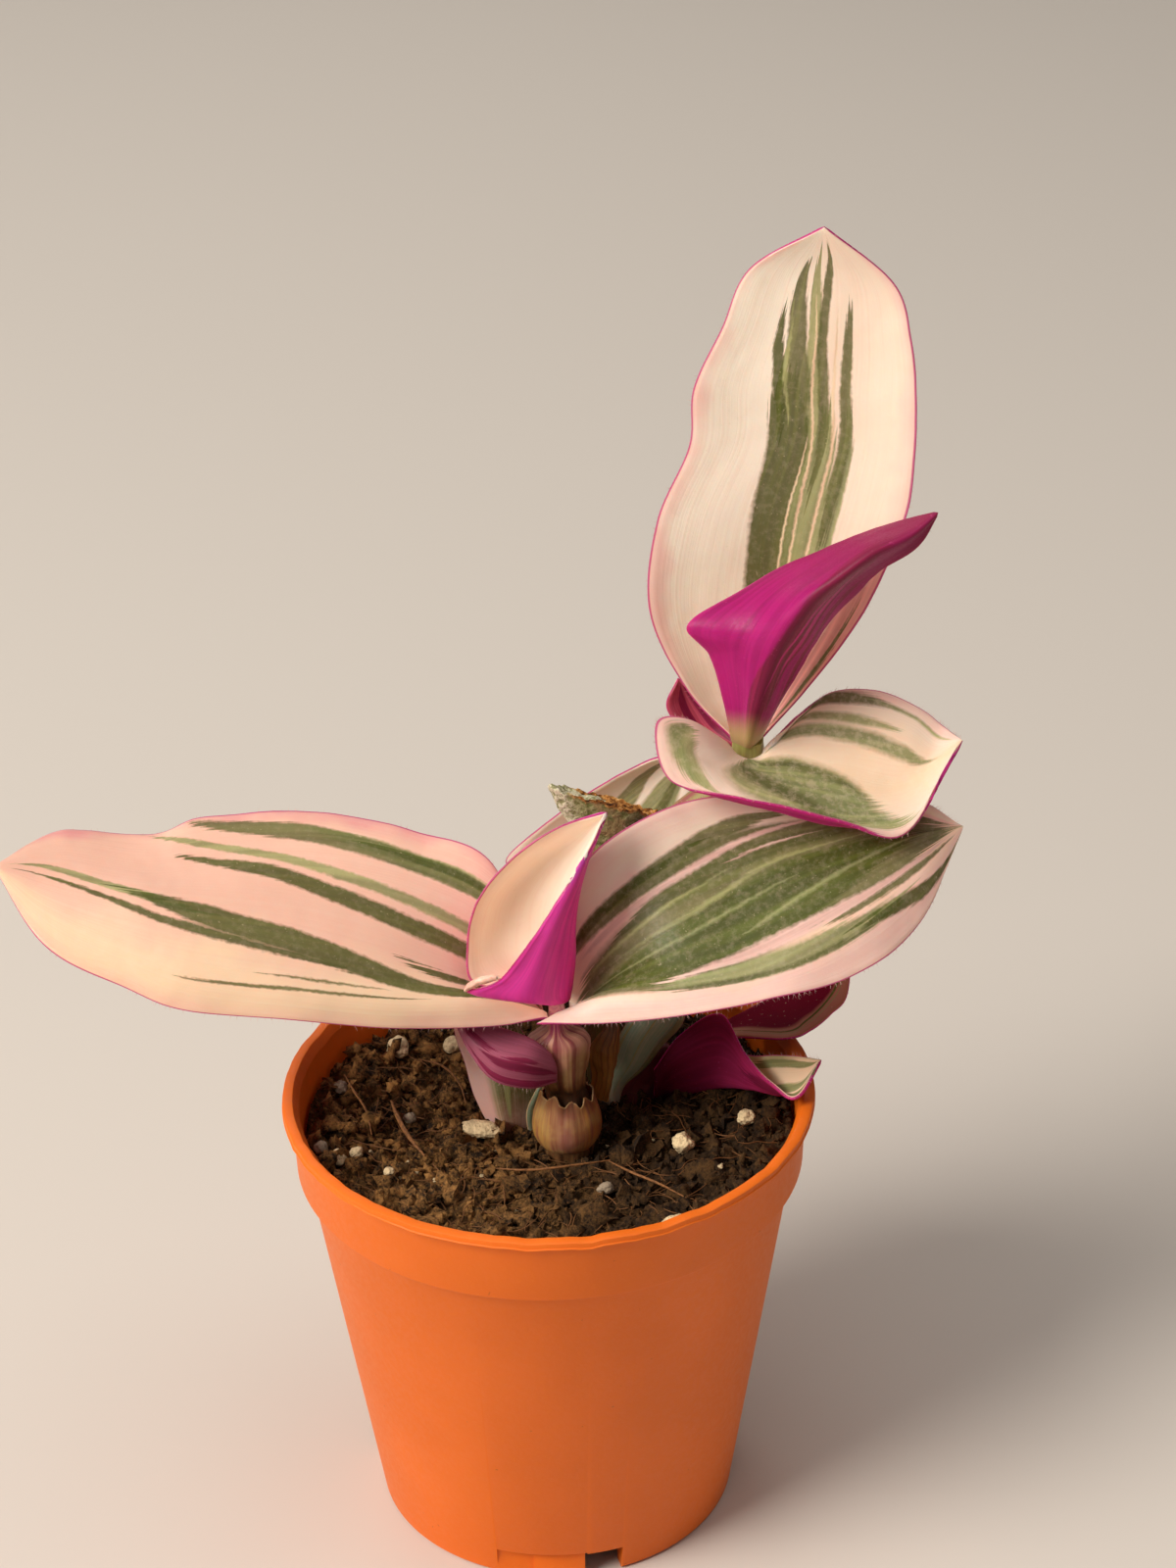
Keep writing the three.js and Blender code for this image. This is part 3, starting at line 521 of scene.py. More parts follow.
def cut_end_skin():
    """The dry cut end: grey crust on its left side and rust brown fibres over its torn top."""
    bench = Bench("crusted_cut_end")
    around, along = bench.uv()
    place = bench.object_place()
    crust = bench.grain(place, 1500, 4, 0.7)
    patch = bench.grain(place, 420, 3)
    body = bench.stain((0.15, 0.15, 0.04), (0.38, 0.35, 0.16), crust, 0.38, 0.62)
    body = bench.stain(body, (0.34, 0.24, 0.1), patch, 0.54, 0.66)
    body = bench.stain(body, (0.12, 0.13, 0.03), patch, 0.4, 0.3)
    turn_cos = bench.math("COSINE", bench.times(around, 2 * math.pi))
    grey = bench.stain((0.28, 0.27, 0.12), (0.72, 0.66, 0.46), crust, 0.42, 0.56)
    body = bench.stain(body, grey, turn_cos, -0.55, -0.9)
    rust = bench.ramp(bench.grain(place, 1000, 4, 0.7), [
        (0.34, (0.045, 0.014, 0.004)), (0.47, (0.3, 0.11, 0.02)),
        (0.56, (0.62, 0.3, 0.08)), (0.7, (0.75, 0.5, 0.22)),
    ])
    torn = bench.plus(along, bench.sway(crust, 0.12))
    top = bench.times(bench.span(torn, 0.55, 0.6), bench.span(turn_cos, -0.8, -0.5))
    body = bench.mix(top, body, rust)
    bench.set_skin(Base_Color=body, Roughness=0.8, Specular_IOR_Level=0.25)
    bench.bump(bench.plus(crust, patch), 0.5 * MM, 0.9)
    return bench.material


# ------------------------------------------------------------------ shapes
def clear_selection():
    if bpy.context.object and bpy.context.object.mode != "OBJECT":
        bpy.ops.object.mode_set(mode="OBJECT")
    bpy.ops.object.select_all(action="DESELECT")


def pick(piece):
    clear_selection()
    piece.select_set(True)
    bpy.context.view_layer.objects.active = piece


def finish_piece(piece, name, materials, nodes=(), angle=60):
    """Places the piece for good: at the origin, smoothed, with its materials, on the root body."""
    pick(piece)
    piece.name = name
    piece.data.name = name
    bpy.ops.object.transform_apply(location=True, rotation=True, scale=True)
    bpy.ops.object.shade_smooth_by_angle(angle=math.radians(angle))
    for k, material in enumerate(materials):
        if k < len(piece.data.materials):
            piece.data.materials[k] = material
        else:
            piece.data.materials.append(material)
    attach(piece, ROOT)
    if nodes:
        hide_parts(*nodes)
    return piece


def corners(piece):
    found = np.empty(len(piece.data.vertices) * 3)
    piece.data.vertices.foreach_get("co", found)
    return found.reshape(-1, 3)


def set_corners(piece, places):
    piece.data.vertices.foreach_set("co", np.ascontiguousarray(places, dtype=np.float32).ravel())
    piece.data.update()


def curve_at(points, share):
    """Places at the given shares along a smooth curve through evenly weighted points."""
    points = np.asarray(points, float)
    last = len(points) - 1
    padded = np.vstack([2 * points[0] - points[1], points, 2 * points[-1] - points[-2]])
    reach = np.clip(share, 0, 1) * last
    begin = np.minimum(np.floor(reach).astype(int), last - 1)
    t = (reach - begin)[:, None]
    before, start, end, after = (padded[begin + k] for k in range(4))
    slope_in, slope_out = (end - before) / 2, (after - start) / 2
    square = 3 * (end - start) - 2 * slope_in - slope_out
    cube = 2 * (start - end) + slope_in + slope_out
    return start + slope_in * t + square * t**2 + cube * t**3


def loft(name, columns, rows):
    """The corners of a leaf between its rails, row by row from its base, and the share of its
    length at each row."""
    *rails, tip = RAILS[name]
    across, along = np.linspace(0, 1, columns + 1), np.linspace(0, 1, rows + 1)
    ribs = [curve_at([*rail, tip], along) for rail in rails]
    grid = [curve_at([rib[k] for rib in ribs], across) for k in range(rows + 1)]
    return np.array(grid) * MM, along


def sheet_grid(columns, rows):
    """A square grid with a UV map. Returns it with each corner's place in the grid."""
    clear_selection()
    bpy.ops.mesh.primitive_grid_add(x_subdivisions=columns, y_subdivisions=rows, size=1)
    sheet = bpy.context.object
    flat = corners(sheet)
    i = np.rint((flat[:, 0] + 0.5) * columns).astype(int)
    j = np.rint((flat[:, 1] + 0.5) * rows).astype(int)
    return sheet, i, j


def weld(piece, flip=False):
    """Joins corners that lie together, such as a seam, and may turn the faces round."""
    pick(piece)
    bpy.ops.object.mode_set(mode="EDIT")
    bpy.ops.mesh.select_all(action="SELECT")
    bpy.ops.mesh.remove_doubles(threshold=0.002 * MM)
    if flip:
        bpy.ops.mesh.flip_normals()
    bpy.ops.object.mode_set(mode="OBJECT")


def edge_corners(piece):
    """The corners along the open edges of a sheet."""
    faces_beside = {}
    for face in piece.data.polygons:
        for key in face.edge_keys:
            faces_beside[key] = faces_beside.get(key, 0) + 1
    return {corner for key, count in faces_beside.items() if count == 1 for corner in key}


def thicken(piece, thickness, offset=0.0):
    """Gives a sheet its thickness, on both of its sides unless offset says otherwise."""
    solid = piece.modifiers.new("thickness", "SOLIDIFY")
    solid.thickness = thickness
    solid.offset = offset
    return solid


def apply_all(piece):
    pick(piece)
    for modifier in list(piece.modifiers):
        bpy.ops.object.modifier_apply(modifier=modifier.name)


def surface_normals(grid):
    """The outward direction of the surface at each point of the grid."""
    sideways = np.gradient(grid, axis=1)
    onward = np.gradient(grid, axis=0)
    facing = np.cross(sideways, onward)
    size = np.linalg.norm(facing, axis=2, keepdims=True)
    return facing / np.maximum(size, 1e-12)


def joined_copies(name, shapes, placements):
    """One mesh of many small copies. A placement is (shape number, 3 by 3 matrix, place)."""
    all_corners, all_faces, start = [], [], 0
    for which, turn, place in placements:
        places, faces = shapes[which]
        all_corners.append(places @ turn.T + place)
        all_faces.extend([tuple(k + start for k in face) for face in faces])
        start += len(places)
    mesh = bpy.data.meshes.new(name)
    mesh.from_pydata(np.vstack(all_corners).tolist(), [], all_faces)
    mesh.update()
    piece = bpy.data.objects.new(name, mesh)
    bpy.context.scene.collection.objects.link(piece)
    return piece


def finish_copies(name, skin, shapes, placements, angle=60):
    """Joins small copies into one piece and finishes it."""
    piece = joined_copies(name, shapes, placements)
    finish_piece(piece, name, [skin], (), angle)


def taken_shape(piece):
    """The corners and faces of a finished master shape, which is then removed."""
    shape = corners(piece), [tuple(face.vertices) for face in piece.data.polygons]
    bpy.data.objects.remove(piece)
    return shape


def turned(rng, size):
    """A random turn as a matrix, with the given size along each of its axes."""
    angles = [rng.uniform(0, 2 * math.pi) for _ in range(3)]
    spin = Matrix.Rotation(angles[0], 3, "X") @ Matrix.Rotation(angles[1], 3, "Y")
    spin = spin @ Matrix.Rotation(angles[2], 3, "Z")
    return np.array(spin) * np.array(size)


def tube(stations, sides, steps, wall=None, seed=0.0, rough=0.0):
    """A round stem through stations [x, y, z, radius across X, radius across Y], in millimetres.
    wall(angle, share) may give a further outward push, in millimetres."""
    piece, i, j = sheet_grid(sides, steps)
    share = np.linspace(0, 1, steps + 1)
    table = np.array(stations, float)
    centre = curve_at(table[:, :3], share)
    radii = curve_at(table[:, 3:5], share)
    forward = np.gradient(centre, axis=0)
    forward /= np.linalg.norm(forward, axis=1, keepdims=True)
    sideways = np.array([1.0, 0, 0]) - forward[:, :1] * forward
    sideways /= np.linalg.norm(sideways, axis=1, keepdims=True)
    deep = np.cross(forward, sideways)
    angle = -2 * math.pi * i / sides
    push = np.zeros(len(i))
    for k in range(len(i)):
        a, s = angle[k], share[j[k]]
        if wall:
            push[k] += wall(a, s)
        if rough:
            lump = Vector((math.cos(a) * 1.6, math.sin(a) * 1.6, s * 6 + seed))
            push[k] += rough * noise.fractal(lump, 0.7, 2.0, 4)
    out = np.cos(angle)[:, None] * sideways[j] * (radii[j, :1] + push[:, None])
    out += np.sin(angle)[:, None] * deep[j] * (radii[j, 1:] + push[:, None])
    set_corners(piece, (centre[j] + out) * MM)
    weld(piece)
    close_ends(piece)
    return piece


def sleeve(around, rise, place_of):
    """An open sleeve. place_of(angle, share of the rise, outward direction) gives each corner,
    in millimetres."""
    piece, i, j = sheet_grid(around, rise)
    places = []
    for a, b in zip(i, j):
        angle = 2 * math.pi * a / around
        side = Vector((math.cos(angle), math.sin(angle), 0))
        places.append(place_of(angle, b / rise, side))
    set_corners(piece, np.array(places) * MM)
    weld(piece)
    return piece


def select_open_edges(piece):
    """Goes into edit mode with the open edges of the piece selected."""
    pick(piece)
    bpy.ops.object.mode_set(mode="EDIT")
    bpy.ops.mesh.select_mode(type="EDGE")
    bpy.ops.mesh.select_all(action="DESELECT")
    bpy.ops.mesh.select_non_manifold(extend=False, use_wire=False, use_multi_face=False,
                                     use_non_contiguous=False, use_verts=False)


def close_ends(piece):
    """Fills each open end with a face and turns all the faces outwards."""
    select_open_edges(piece)
    bpy.ops.mesh.edge_face_add()
    bpy.ops.mesh.select_all(action="SELECT")
    bpy.ops.mesh.normals_make_consistent(inside=False)
    bpy.ops.mesh.select_mode(type="VERT")
    bpy.ops.object.mode_set(mode="OBJECT")


# ------------------------------------------------------------------ pot
# Drain slots in the foot: how many, where the first one is, and the flat beside each of them.
SLOT_COUNT = 3
FIRST_SLOT_DEGREES = -75.2
SLOT_INNER = 14.5 * MM
FLAT_DEGREES = -19.6  # from its slot
FLAT_WIDTH = 10.4 * MM
TAB_DEGREES = -89.5
TAB_WIDTH = 5.6 * MM


class POTTED_OT_pot(Operator):
    """Moulds the round pot: turned wall, collar, rim, foot ring and drain slots"""

    bl_idname = "potted.pot"
    bl_label = "Pot"

    def execute(self, context):
        sizes = settings().pot
        edge, lip, wall = 0.4 * MM, 1.0 * MM, sizes.wall
        foot, shoulder, rim = sizes.foot_radius, sizes.shoulder_radius, sizes.rim_radius
        collar, collar_foot = sizes.collar_radius, sizes.collar_foot
        step, high = sizes.step_height, sizes.height
        outline = [
            (10.0 * MM, 0.0),
            (10.5 * MM, 1.5 * MM),
            (18.5 * MM, 1.5 * MM),
            (19.0 * MM, 0.0),
            (foot - edge, 0.0),
            (foot, edge),
            (shoulder, step - edge),
            (shoulder + 0.25 * MM, step - 0.1 * MM),
            (collar_foot - 0.15 * MM, step + 0.15 * MM),
            (collar_foot, step + edge),
            (collar, high - lip),
            (rim - 0.3 * MM, high - 1.05 * lip),
            (rim - 0.28 * MM, high - 0.9 * lip),
            (rim, high - 0.85 * lip),
            (rim, high - 1.9 * edge),
            (rim - 0.14 * MM, high - 1.7 * edge),
            (rim - 0.12 * MM, high - 0.3 * edge),
            (rim - edge, high),
            (sizes.rim_inner, high),
            (collar - wall, high - lip),
            (collar_foot - wall, step + wall),
            (shoulder - wall, step - wall),
            (foot - wall + 0.3 * MM, 2.5 * MM),
        ]
        clear_selection()
        bpy.ops.mesh.primitive_circle_add(
            vertices=sizes.sides, radius=outline[0][0], fill_type="NOTHING"
        )
        pot = bpy.context.object
        bpy.ops.object.mode_set(mode="EDIT")
        for (radius, height), (next_radius, next_height) in zip(outline, outline[1:]):
            bpy.ops.mesh.extrude_region_move(
                TRANSFORM_OT_translate={"value": (0, 0, next_height - height)}
            )
            grow = next_radius / radius
            bpy.ops.transform.resize(value=(grow, grow, 1), center_override=(0, 0, next_height))
        bpy.ops.object.mode_set(mode="OBJECT")
        close_ends(pot)
        self.cut_slots(pot, sizes)
        self.wear_rim(pot, sizes)
        bevel = pot.modifiers.new("soft edges", "BEVEL")
        bevel.width = 0.16 * MM
        bevel.segments = 2
        bevel.angle_limit = math.radians(32)
        apply_all(pot)
        finish_piece(pot, "nursery_pot", [pot_plastic()], ["pot"], 35)
        return {"FINISHED"}

    def cutter(self, inner, outer, width, low, high, degrees):
        """A block that reaches out of the foot at the given angle."""
        clear_selection()
        bpy.ops.mesh.primitive_cube_add(size=1, location=((inner + outer) / 2, 0, (low + high) / 2))
        block = bpy.context.object
        block.scale = (outer - inner, width, high - low)
        bpy.ops.object.transform_apply(location=True, rotation=False, scale=True)
        block.rotation_euler.z = math.radians(degrees)
        bpy.ops.object.transform_apply(location=False, rotation=True, scale=False)
        return block

    def work(self, pot, block, operation):
        """Cuts the block out of the pot, or joins it on."""
        change = pot.modifiers.new("block", "BOOLEAN")
        change.operation = operation
        change.object = block
        change.solver = "EXACT"
        apply_all(pot)
        bpy.data.objects.remove(block)

    def cut_slots(self, pot, sizes):
        foot, high = sizes.foot_radius, sizes.slot_height
        below, beyond = -1 * MM, foot + 2 * MM
        for k in range(SLOT_COUNT):
            turn = FIRST_SLOT_DEGREES + 360 / SLOT_COUNT * k
            slot = self.cutter(SLOT_INNER, beyond, sizes.slot_width, below, high, turn)
            flat = self.cutter(foot - 0.5 * MM, beyond, FLAT_WIDTH, below, high + 0.2 * MM,
                               turn + FLAT_DEGREES)
            self.work(pot, slot, "DIFFERENCE")
            self.work(pot, flat, "DIFFERENCE")
        tab = self.cutter(foot - 0.8 * MM, foot - 0.25 * MM, TAB_WIDTH, 0.3 * MM, high - 0.1 * MM,
                          TAB_DEGREES)
        self.work(pot, tab, "UNION")

    def wear_rim(self, pot, sizes):
        """Small uneven spots round the rim, as a thin moulding leaves."""
        places = corners(pot)
        for place in places:
            if place[2] > sizes.height - 1.2 * MM:
                angle = math.atan2(place[1], place[0])
                wave = noise.noise(Vector((math.cos(angle) * 9, math.sin(angle) * 9, 2.0)))
                fine = noise.noise(Vector((math.cos(angle) * 40, math.sin(angle) * 40, 7.0)))
                place[2] += min(0.0, 0.25 * wave + 0.35 * fine - 0.04) * MM
        set_corners(pot, places)


# ------------------------------------------------------------------ soil
SOIL_SEED = 41

# The soil, in millimetres: its radius, how it banks up to the wall and to the front, the heights
# where its sides begin and end, and the size from which a crumb counts as coarse.
SOIL_RADIUS = 27.5
BANK_FROM, BANK_RUN, BANK_RISE = 18.5, 9, 3.0
FRONT_BANK_FROM, FRONT_BANK_SLOPE = -12, 0.04
SKIRT_HEIGHT, BASE_HEIGHT = 44, 2.8
COARSE_CRUMB = 0.22
FIBRE_REACH, SPECK_REACH = 26.3, 26.8


def soil_height(x, y):
    """Mean height of the soil at a place, all in millimetres."""
    ripple = math.sin(0.55 * x + 0.9) * math.cos(0.48 * y) + 0.5 * math.sin(0.31 * x - 0.42 * y)
    to_wall = max(0.0, math.hypot(x, y) - BANK_FROM) / BANK_RUN
    front_bank = max(0.0, FRONT_BANK_FROM - y) * FRONT_BANK_SLOPE
    return settings().soil.level / MM + 0.42 * ripple + BANK_RISE * to_wall + front_bank


def crumbly(x, y):
    """Height of the broken surface over its mean, in millimetres."""
    at = Vector((x, y, 0.0))
    lumps = noise.fractal(at * 0.3, 0.6, 2.1, 3) * 0.85
    clods = max(0.0, noise.noise(at * 0.62 + Vector((9, 3, 1)))) * 2.0
    fine = noise.fractal(at * 1.9, 0.75, 2.2, 3) * 0.55
    return lumps + clods + fine - 0.5


def scattered(rng, reach):
    """A random place within reach of the middle: its distance from there, x and y."""
    radius = reach * math.sqrt(rng.random())
    angle = rng.uniform(0, 2 * math.pi)
    return radius, radius * math.cos(angle), radius * math.sin(angle)


class POTTED_OT_soil(Operator):
    """Fills the pot with crumbly peat: a broken surface, loose crumbs, fibres and grains"""

    bl_idname = "potted.soil"
    bl_label = "Soil"

    def execute(self, context):
        rng = random.Random(SOIL_SEED)
        # The bed's peat and the loose crumbs both carry the painted shade on their right side.
        skin, loose = peat("damp_peat", -0.07), peat("loose_peat", 0.02)
        self.bed(skin)
        self.crumbs(rng, loose)
        self.fibres(rng)
        self.grains()
        self.specks(rng)
        return {"FINISHED"}

    def bed(self, skin):
        """The broken surface, drawn down inside the pot to a closed block."""
        count = 190  # cells along each side
        bed, i, j = sheet_grid(count, count)
        u, v = 2 * i / count - 1, 2 * j / count - 1
        x = u * np.sqrt(1 - v * v / 2) * SOIL_RADIUS
        y = v * np.sqrt(1 - u * u / 2) * SOIL_RADIUS
        places = np.stack([x, y, np.zeros(len(x))], 1)
        for place in places:
            x, y, _ = place
            rim = max(0.0, math.hypot(x, y) - SOIL_RADIUS + 2) / 2
            place[2] = soil_height(x, y) + crumbly(x, y) - 0.6 * rim
        set_corners(bed, places * MM)
        select_open_edges(bed)
        for drop, grow, flatten, level in (
            (3, 0.97, 0, SKIRT_HEIGHT), (SKIRT_HEIGHT - BASE_HEIGHT, 0.745, 1, BASE_HEIGHT)
        ):
            bpy.ops.mesh.extrude_region_move(TRANSFORM_OT_translate={"value": (0, 0, -drop * MM)})
            bpy.ops.transform.resize(value=(grow, grow, flatten),
                                     center_override=(0, 0, level * MM))
        bpy.ops.object.mode_set(mode="OBJECT")
        close_ends(bed)
        finish_piece(bed, "peat_bed", [skin], ["soil"], 80)

    def masters(self, rng, count, segments, rings, dent):
        """A few lumpy balls of few faces, to be copied as crumbs."""
        shapes = []
        for k in range(count):
            clear_selection()
            bpy.ops.mesh.primitive_uv_sphere_add(segments=segments, ring_count=rings, radius=1)
            ball = bpy.context.object
            places = corners(ball)
            for place in places:
                lump = noise.fractal(Vector(place) * 1.5 + Vector((k * 7.3, 0, 0)), 0.7, 2.0, 3)
                place *= 1 + dent * lump + rng.uniform(-0.16, 0.16)
            set_corners(ball, places)
            shapes.append(taken_shape(ball))
        return shapes

    def crumbs(self, rng, loose):
        """Loose crumbs, many small and a few big, in one piece for each size."""
        shapes = self.masters(rng, 6, 7, 5, 1.0)
        total = settings().soil.crumbs
        groups = {"peat_crumbs": [], "peat_fines": []}
        for _ in range(total):
            radius, x, y = scattered(rng, SOIL_RADIUS - 0.3)
            size = min(1.15, 0.16 * rng.paretovariate(1.6))
            if radius + size > SOIL_RADIUS:
                continue
            rise = crumbly(x, y) + rng.uniform(-0.15, 0.35) * size
            shape = [size * rng.uniform(0.65, 1.25) for _ in range(3)]
            place = np.array([x, y, soil_height(x, y) + rise]) * MM
            kind = "peat_crumbs" if size > COARSE_CRUMB else "peat_fines"
            groups[kind].append((rng.randrange(len(shapes)), turned(rng, shape) * MM, place))
        for name, placements in groups.items():
            finish_copies(name, loose, shapes, placements, 75)

    def strand(self, points, thickness, name):
        """A thin strand along a smooth curve, tapered at both ends."""
        curve = bpy.data.curves.new(name, "CURVE")
        curve.dimensions = "3D"
        curve.bevel_depth = thickness / 2
        curve.bevel_resolution = 1
        curve.resolution_u = 4
        curve.use_fill_caps = True
        line = curve.splines.new("BEZIER")
        line.bezier_points.add(len(points) - 1)
        for k, (stop, place) in enumerate(zip(line.bezier_points, points)):
            stop.co = place
            stop.handle_left_type = stop.handle_right_type = "AUTO"
            stop.radius = 0.45 if k in (0, len(points) - 1) else 1.0
        piece = bpy.data.objects.new(name, curve)
        bpy.context.scene.collection.objects.link(piece)
        pick(piece)
        bpy.ops.object.convert(target="MESH")
        return bpy.context.object

    def fibres(self, rng):
        """Fine fibres all over the peat, and the few long strands that lie on it."""
        shapes = []
        for k in range(7):
            points, heading = [np.zeros(3)], rng.uniform(-0.3, 0.3)
            for _ in range(5):
                heading += rng.uniform(-0.55, 0.55)
                step = np.array([math.cos(heading), math.sin(heading), rng.uniform(-0.12, 0.12)])
                points.append(points[-1] + step * 0.2)
            middle = sum(points) / len(points)
            strand = self.strand([p - middle for p in points], 0.022, f"strand_{k}")
            shapes.append(taken_shape(strand))
        placements = []
        for _ in range(settings().soil.fibres):
            radius, x, y = scattered(rng, FIBRE_REACH)
            room = 2 * (27.3 - radius) + 1.2  # a fibre by the wall has to be short
            size = min(rng.uniform(1.5, 7.0), room)
            spin = Matrix.Rotation(rng.uniform(0, 2 * math.pi), 3, "Z")
            tilt = Matrix.Rotation(rng.uniform(-0.25, 0.25), 3, "Y")
            turn = np.array(spin @ tilt) * size
            rise = soil_height(x, y) + max(0.1, crumbly(x, y)) + rng.uniform(0.05, 0.5)
            place = np.array([x, y, rise]) * MM
            placements.append((rng.randrange(len(shapes)), turn * MM, place))
        skin = fibre_skin("thin_fibre", toned(settings().soil.fibre, 0.8))
        finish_copies("peat_fibres", skin, shapes, placements)
        tan = fibre_skin("tan_bark_fibre", settings().soil.fibre)
        thick = self.strand([Vector(p) * MM for p in TAN_STRAND], 0.55 * MM, "tan_strand")
        finish_piece(thick, "tan_strand", [tan], ["tan_fibre"])
        for k, line in enumerate(LONG_STRANDS):
            piece = self.strand([Vector(p) * MM for p in line], 0.28 * MM, f"long_strand_{k + 1}")
            finish_piece(piece, f"long_strand_{k + 1}", [tan])

    def lump(self, at, size, turn, seed, slot, number, skin):
        """One worn grain, swollen and pitted, at its place in the peat."""
        clear_selection()
        bpy.ops.mesh.primitive_ico_sphere_add(subdivisions=4, radius=1)
        ball = bpy.context.object
        places = corners(ball)
        for place in places:
            at_noise = Vector(place) + Vector((seed * 3.1, seed, 0))
            swell = noise.fractal(at_noise * 1.1, 0.8, 2.0, 3) * 0.2
            pits = min(0.0, noise.noise(at_noise * 4.0)) * 0.1
            place *= 0.96 + swell + pits
        spin = np.array(Matrix.Rotation(turn, 3, "Z"))
        places = (places * (np.array(size) / 2)) @ spin.T + np.array(at)
        set_corners(ball, places * MM)
        finish_piece(ball, f"{slot}_grain_{number}", [skin], [f"{slot}_{number}"], 70)

    def grains(self):
        colours = settings().soil
        white = grain_skin("pitted_perlite", colours.perlite, 0.55)
        grey = grain_skin("dull_stone", colours.stone, 0.7)
        for slot, table, first_seed, skin in (
            ("perlite", PERLITES, 1.0, white), ("stone", STONES, 21.0, grey)
        ):
            for k, (at, size, turn) in enumerate(table):
                self.lump(at, size, turn, first_seed + k, slot, k + 1, skin)

    def specks(self, rng):
        """Small broken bits of perlite."""
        shapes = self.masters(rng, 4, 6, 5, 0.6)
        placements = []
        for _ in range(settings().soil.specks):
            _, x, y = scattered(rng, SPECK_REACH)
            size = rng.uniform(0.1, 0.32)
            shape = [size * rng.uniform(0.7, 1.2) for _ in range(3)]
            place = np.array([x, y, soil_height(x, y) + crumbly(x, y) + 0.12]) * MM
            placements.append((rng.randrange(len(shapes)), turned(rng, shape) * MM, place))
        skin = grain_skin("perlite_specks", toned(settings().soil.perlite, 0.7), 0.6)
        finish_copies("perlite_specks", skin, shapes, placements)


# Strands that lie on the peat, in millimetres.
TAN_STRAND = [(-18.2, 6.1, 48.1), (-17.4, 2.6, 48.5), (-15.9, -1.6, 48.4), (-14.0, -4.6, 47.8)]
LONG_STRANDS = [
    [(-15.2, 13.8, 48.7), (-12.5, 12.0, 48.9), (-10.4, 8.6, 48.6), (-9.6, 5.4, 48.0)],
    [(-23.6, 8.7, 50.1), (-22.5, 5.7, 50.0), (-20.7, 1.6, 49.6), (-20.1, -1.3, 48.5)],
    [(-6.2, -7.5, 48.0), (-2.4, -8.8, 48.6), (2.6, -8.2, 48.7), (6.8, -6.6, 48.2)],
    [(6.5, -6.5, 48.1), (9.0, -9.5, 48.6), (11.8, -11.6, 48.6), (15.0, -15.6, 49.3)],
]

# Grains in the peat, in millimetres: middle, size along X, Y and Z, and turn about Z.
PERLITES = [
    ((-23.6, -7.0, 49.4), (2.2, 2.1, 1.9), 0.4),
    ((-21.7, -4.5, 48.3), (1.7, 1.6, 1.5), 1.1),
    ((-17.8, 15.5, 49.3), (3.1, 2.7, 2.5), 2.0),
    ((-11.5, 16.7, 48.7), (2.4, 2.3, 2.1), 0.9),
    ((-7.9, 0.8, 47.6), (5.2, 2.5, 1.9), -0.35),
    ((15.0, -3.2, 47.9), (2.7, 2.5, 2.4), 1.5),
    ((22.3, -0.1, 49.2), (2.2, 1.9, 1.8), 0.2),
    ((13.4, -22.6, 51.0), (3.3, 1.9, 1.9), 0.5),
    ((-17.9, -7.8, 48.0), (1.3, 1.3, 1.2), 2.6),
]
STONES = [
    ((-25.4, -6.4, 50.4), (1.8, 1.8, 1.5), 0.7),
    ((-24.0, 7.1, 49.4), (1.8, 1.7, 1.5), 1.9),
    ((-16.0, 3.4, 47.5), (1.4, 1.5, 1.2), 2.2),
    ((6.2, -11.2, 47.6), (2.0, 1.6, 1.5), 0.3),
]

